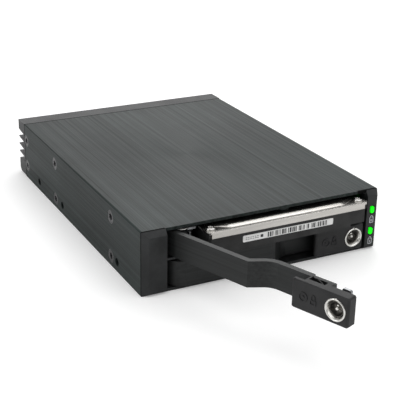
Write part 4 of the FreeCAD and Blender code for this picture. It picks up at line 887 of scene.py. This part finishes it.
@dataclass
class DriveLabel:
    """Paper strip on the drive's front edge, printed with bars and dashes.

    Marks are placed from its lower left corner, and encode nothing.  The bars' height and the
    dashes' rows are shares of its height.
    """

    palette: Palette
    left: float = 14.3
    foot: float = 2.75
    width: float = 39.5
    height: float = 2.6
    corner: float = 0.45
    sheet: float = 0.06
    sunk: float = 0.02
    ink: float = 0.02
    bars: int = 33
    bars_left: float = 10.5
    bars_right: float = 2.6
    bar_share: float = 0.76
    bar_widths: Row = (0.22, 0.4, 0.62, 0.9)
    bar_chances: Row = (0.3, 0.35, 0.25, 0.1)
    gap_widths: Row = (0.24, 0.4, 0.7, 1.1)
    gap_chances: Row = (0.4, 0.3, 0.2, 0.1)
    dashes: int = 6
    dashes_left: float = 1.2
    dash_pitch: float = 0.95
    dash_widths: Pair = (0.45, 0.75)
    dash_line: float = 0.2
    dash_rows: Pair = (0.36, 0.62)
    square: float = 1.1
    square_x: float = 8.0
    seed: int = 5

    def build(self) -> None:
        """Stick the strip on the casting and print it."""
        low, _ = span("drive_casting")
        place = at(low[0] + self.left, low[1], low[2] + self.foot) @ TO_FRONT
        strip = moved(slab(rounded(self.width, self.height, self.corner), -self.sunk, self.sheet),
                      at(self.width / 2, self.height / 2, 0))
        self.palette.add("drive_label", moved(strip, place), "label_paper", "drive")
        marks = self._bars() + self._dashes()
        self.palette.add("drive_label_print", moved(gather(marks), place), "label_ink", "drive")

    def _mark(self, width: float, height: float, x: float, y: float) -> Shape:
        """Print a rectangle round a place on the strip."""
        return block((width, height, self.ink), (x, y, self.sheet + self.ink / 2))

    def _bars(self) -> list[Shape]:
        """Draw upright bars of random widths and gaps, scaled to fill their room.

        Returns:
            Points and faces of each bar.
        """
        chance = np.random.default_rng(self.seed)
        widths = chance.choice(self.bar_widths, self.bars, p=self.bar_chances)
        gaps = chance.choice(self.gap_widths, self.bars, p=self.gap_chances)
        steps = np.cumsum(widths + gaps)
        scale = (self.width - self.bars_left - self.bars_right) / steps[-1]
        starts = self.bars_left + scale * (steps - widths - gaps)
        return [self._mark(scale * width, self.bar_share * self.height,
                           start + scale * width / 2, self.height / 2)
                for start, width in zip(starts, widths)]

    def _dashes(self) -> list[Shape]:
        """Draw two rows of short dashes and a small square left of the bars.

        Returns:
            Points and faces of each mark.
        """
        chance = np.random.default_rng(self.seed + 1)
        starts = np.tile(self.dashes_left + self.dash_pitch * np.arange(self.dashes), 2)
        rows = np.repeat(self.dash_rows, self.dashes) * self.height
        widths = chance.uniform(*self.dash_widths, 2 * self.dashes)
        dashes = [self._mark(width, self.dash_line, start + width / 2, row)
                  for start, row, width in zip(starts, rows, widths)]
        return dashes + [self._mark(self.square, self.square, self.square_x, self.height / 2)]


@dataclass
class BayIcons:
    """Printed drive outlines under the status lights: one bar for a bay, two for the other."""

    palette: Palette
    drop: float = 4.4
    width: float = 1.9
    height: float = 2.5
    line: float = 0.28
    corners: Pair = (0.4, 0.2)
    hub_outer: Pair = (1.1, 1.0)
    hub_inner: Pair = (0.6, 0.5)
    hub_rise: float = 0.2
    bar: Pair = (0.24, 1.1)
    bar_pitch: float = 0.5
    bar_drop: float = 0.1
    ink: float = 0.03

    def build(self) -> None:
        """Print both icons on the right bezel."""
        face = span("right_bezel")[0][1]
        for bay, bars in zip(BAYS, (1, 2)):
            light = sum(span(f"{bay.name}_status_light")) / 2
            place = at(light[0], face, light[2] - self.drop) @ TO_FRONT
            self.palette.add(f"{bay.name}_bay_icon", moved(self._icon(bars), place),
                             "icon_print", "chassis")

    def _icon(self, bars: int) -> Shape:
        """Draw the outline of a drive with its hub above and bars inside.

        Args:
            bars: How many bars stand side by side.

        Returns:
            Points and faces.
        """
        inset = 2 * self.line
        outline = frame_slab(
            rounded(self.width, self.height, self.corners[0]),
            rounded(self.width - inset, self.height - inset, self.corners[1]),
            -self.ink, self.ink)
        hub = moved(frame_slab(oval(*self.hub_outer), oval(*self.hub_inner), -self.ink, self.ink),
                    at(0, self.height / 2 + self.hub_rise, 0))
        middles = self.bar_pitch * (np.arange(bars) - (bars - 1) / 2)
        inner = [block((*self.bar, 2 * self.ink), (x, -self.bar_drop, 0)) for x in middles]
        return gather([outline, hub] + inner)


# ---- backplane

@dataclass
class PortContacts:
    """Rows of contacts on the tongues of the rear ports."""

    palette: Palette
    ports: tuple[str, ...] = ("lower_data_port", "upper_data_port", "power_port")
    width: float = 0.6
    pitch: float = 1.27
    sheet: float = 0.05
    tongue_top: float = 0.5
    tongue_side: float = 1.9
    tongue_back: float = 1.0
    spare_across: float = 1.0
    spare_along: float = 0.4

    def build(self) -> None:
        """Lay as many contacts on each tongue as its width has room for."""
        strips: list[Shape] = []
        for port in self.ports:
            low, high = span(port)
            room = high[0] - low[0] - 2 * self.tongue_side - self.spare_across
            first = low[0] + self.tongue_side + self.width / 2
            places = first + self.pitch * np.arange(int(room // self.pitch))
            length = high[1] - low[1] - 2 * self.tongue_back - self.spare_along
            top = (low[2] + high[2]) / 2 + self.tongue_top + self.sheet / 2
            strips += [block((self.width, length, self.sheet),
                             (x, high[1] - self.tongue_back - length / 2, top)) for x in places]
        self.palette.add("port_contacts", gather(strips), "contact_gold", "chassis")


@dataclass
class BoardParts:
    """Chips, capacitors and resistors on the rear face of the backplane's board.

    Chips are listed by place across, place up, width and height; rows of resistors by place
    up, first and last place across, and pitch.
    """

    palette: Palette
    chips: Table = (
        (-18.5, 18.0, 6.0, 3.6), (1.5, 18.0, 7.0, 3.6), (-8.0, 6.9, 5.0, 3.0))
    chip_corner: float = 0.25
    chip_span: Pair = (0.15, 1.2)
    leg: Triple = (0.32, 0.7, 0.3)
    leg_pitch: float = 0.8
    leg_first: float = 0.5
    leg_last: float = 0.3
    leg_reach: float = 0.3
    leg_middle: float = 0.16
    can_across: Triple = (11.5, 16.5, 21.5)
    can_up: float = 18.0
    can_profile: Table = (
        (1.75, 0.5), (1.85, 0.7), (1.85, 1.2), (1.7, 1.3), (1.7, 1.5), (1.85, 1.6),
        (1.85, 4.2), (1.7, 4.4), (1.55, 4.4), (1.5, 4.32))
    can_steps: int = 40
    can_smooth: float = 40.0
    can_foot: Triple = (4.0, 4.0, 0.5)
    can_foot_span: Pair = (0.02, 0.55)
    resistor_rows: Table = (
        (8.2, 2.0, 24.0, 2.7), (6.2, 3.0, 24.0, 3.3), (8.4, -24.0, -12.0, 2.9))
    resistor: Triple = (1.0, 0.8, 0.45)
    resistor_end: Triple = (0.32, 0.84, 0.49)
    resistor_end_across: float = 0.62
    resistor_middle: float = 0.25

    def build(self) -> None:
        """Make every kind of part."""
        self._chips()
        self._capacitors()
        self._resistors()

    def _add(self, name: str, parts: Sequence[Shape], finish: str, smooth: float = 0.0) -> None:
        """Join parts into one piece on the chassis."""
        self.palette.add(name, gather(parts), finish, "chassis", smooth)

    def _on_board(self, x: float, z: float) -> Matrix:
        """Place a part on the board's rear face."""
        return at(x, span("backplane_board")[1][1], z) @ TO_REAR

    def _chips(self) -> None:
        """Lay flat chips with a row of legs on two sides."""
        bodies: list[Shape] = []
        legs: list[Shape] = []
        for x, z, width, height in self.chips:
            place = self._on_board(x, z)
            outline = rounded(width, height, self.chip_corner)
            bodies.append(moved(slab(outline, *self.chip_span), place))
            across = np.arange(self.leg_first - width / 2, width / 2 - self.leg_last,
                               self.leg_pitch)
            reach = height / 2 + self.leg_reach
            legs += [moved(block(self.leg, (step, side * reach, self.leg_middle)), place)
                     for step in across for side in (-1, 1)]
        self._add("board_chips", bodies, "chip_resin")
        self._add("chip_legs", legs, "solder_tin")

    def _capacitors(self) -> None:
        """Stand round cans with a grooved foot on square feet."""
        can = turned(self.can_profile, self.can_steps)
        foot = slab(rounded(*self.can_foot), *self.can_foot_span)
        places = [self._on_board(x, self.can_up) for x in self.can_across]
        self._add("capacitor_cans", [moved(can, place) for place in places], "solder_tin",
                  self.can_smooth)
        self._add("capacitor_feet", [moved(foot, place) for place in places], "chip_resin")

    def _resistors(self) -> None:
        """Lay rows of small resistors with tinned ends."""
        places = [self._on_board(x, up) for up, first, last, pitch in self.resistor_rows
                  for x in np.arange(first, last, pitch)]
        body = block(self.resistor, (0, 0, self.resistor_middle))
        ends = [block(self.resistor_end, (side * self.resistor_end_across, 0,
                                          self.resistor_middle)) for side in (-1, 1)]
        self._add("board_resistors", [moved(body, place) for place in places], "chip_resin")
        self._add("resistor_ends", [moved(end, place) for place in places for end in ends],
                  "solder_tin")


# ---- studio

WHITE = (1.0, 1.0, 1.0, 1.0)
OBJECT_MIDDLE = (0.0, 0.0, 0.012)


@dataclass(frozen=True)
class Lamp:
    """Square soft lamp that looks at the object's middle; its place and size in metres."""

    name: str
    place: Triple
    size: float
    power: float

    def build(self) -> None:
        """Hang the lamp."""
        data = bpy.data.lights.new(self.name, "AREA")
        data.size = self.size
        data.energy = self.power
        lamp = bpy.data.objects.new(self.name, data)
        aim = Vector(OBJECT_MIDDLE) - Vector(self.place)
        lamp.matrix_world = (Matrix.Translation(self.place)
                             @ aim.to_track_quat("-Z", "Y").to_matrix().to_4x4())
        bpy.context.scene.collection.objects.link(lamp)


@dataclass
class Studio:
    """Floor, lamps, world and camera; angles in degrees, the floor in mm, places in metres.

    From floor_reach[0] to floor_reach[1] metres from the middle, the floor's glow rises from
    floor_glow[0] to floor_glow[1].
    """

    floor: Triple = (2000.0, 2000.0, 4.0)
    floor_colour: Row = (0.9, 0.9, 0.9, 1.0)
    floor_roughness: float = 0.9
    floor_specular: float = 0.1
    floor_reach: Pair = (0.20, 0.60)
    floor_glow: Pair = (0.22, 1.0)
    soft_light: float = 0.42
    gloss_light: float = 0.03
    backdrop_light: float = 0.60
    lamps: tuple[Lamp, ...] = (Lamp("key", (0.18, -0.30, 0.80), 1.5, 6.4),
                               Lamp("rear", (0.35, 0.75, 0.65), 0.8, 4.2),
                               Lamp("side", (-0.85, 0.05, 0.30), 0.7, 2.6))
    azimuth: float = -27.25
    elevation: float = 21.44
    roll: float = 0.98
    lens: float = 90.9
    sensor: float = 36.0
    near_clip: float = 0.01
    position: Triple = (-0.1814, -0.3615, 0.1729)
    shift: Pair = (0.0085, -0.054)

    def build(self) -> None:
        """Set up everything round the object."""
        self._floor()
        self._world()
        for lamp in self.lamps:
            lamp.build()
        self._camera()
        bpy.context.scene.view_settings.view_transform = "Standard"

    def _floor(self) -> None:
        """Lay a pale floor that keeps the object's shadow and glows only to the camera."""
        floor = make_object("floor", block(self.floor, (0.0, 0.0, -self.floor[2] / 2)))
        material = bpy.data.materials.new("floor_white")
        material.use_nodes = True
        wiring = Wiring(material.node_tree)
        place = wiring.add("TexCoord", {}).outputs["Object"]
        reach = wiring.add("VectorMath", {0: place}, "LENGTH").outputs["Value"]
        level = wiring.spread(reach, self.floor_reach, self.floor_glow)
        camera_ray = wiring.add("LightPath", {}).outputs["Is Camera Ray"]
        wiring.fill(material.node_tree.nodes["Principled BSDF"], {
            "Base Color": self.floor_colour, "Roughness": self.floor_roughness,
            "Specular IOR Level": self.floor_specular, "Emission Color": WHITE,
            "Emission Strength": wiring.calculate("MULTIPLY", camera_ray, level)})
        floor.data.materials.append(material)

    def _world(self) -> None:
        """Show white behind the object, and light it softly."""
        world = bpy.data.worlds.new("studio")
        bpy.context.scene.world = world
        world.use_nodes = True
        wiring = Wiring(world.node_tree)
        path = wiring.add("LightPath", {})
        gloss = wiring.calculate("MULTIPLY_ADD", path.outputs["Is Glossy Ray"],
                                 self.gloss_light, self.soft_light)
        level = wiring.calculate("MULTIPLY_ADD", path.outputs["Is Camera Ray"],
                                 self.backdrop_light, gloss)
        wiring.fill(world.node_tree.nodes["Background"], {"Color": WHITE, "Strength": level})

    def _camera(self) -> None:
        """Stand the camera in front of the object's left corner, a little above it."""
        turn = (Matrix.Rotation(math.radians(self.azimuth), 4, "Z")
                @ Matrix.Rotation(math.radians(90.0 - self.elevation), 4, "X")
                @ Matrix.Rotation(math.radians(self.roll), 4, "Z"))
        data = bpy.data.cameras.new("camera")
        data.lens = self.lens
        data.sensor_width = self.sensor
        data.shift_x, data.shift_y = self.shift
        data.clip_start = self.near_clip
        camera = bpy.data.objects.new("camera", data)
        camera.matrix_world = Matrix.Translation(self.position) @ turn
        bpy.context.scene.collection.objects.link(camera)
        bpy.context.scene.camera = camera


def main() -> None:
    """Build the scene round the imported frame."""
    logging.basicConfig(level=logging.INFO, format="%(name)s %(message)s")
    palette = Palette()
    for dressing in DRESSINGS:
        dressing.build(palette)
    Fasteners(palette).build()
    for bay in BAYS:
        LockFace(palette).build(bay)
        DoorMarks(palette).build(bay)
    HingeClip(palette).build()
    DriveLabel(palette).build()
    BayIcons(palette).build()
    PortContacts(palette).build()
    BoardParts(palette).build()
    Studio().build()


if __name__ == "__main__":
    main()
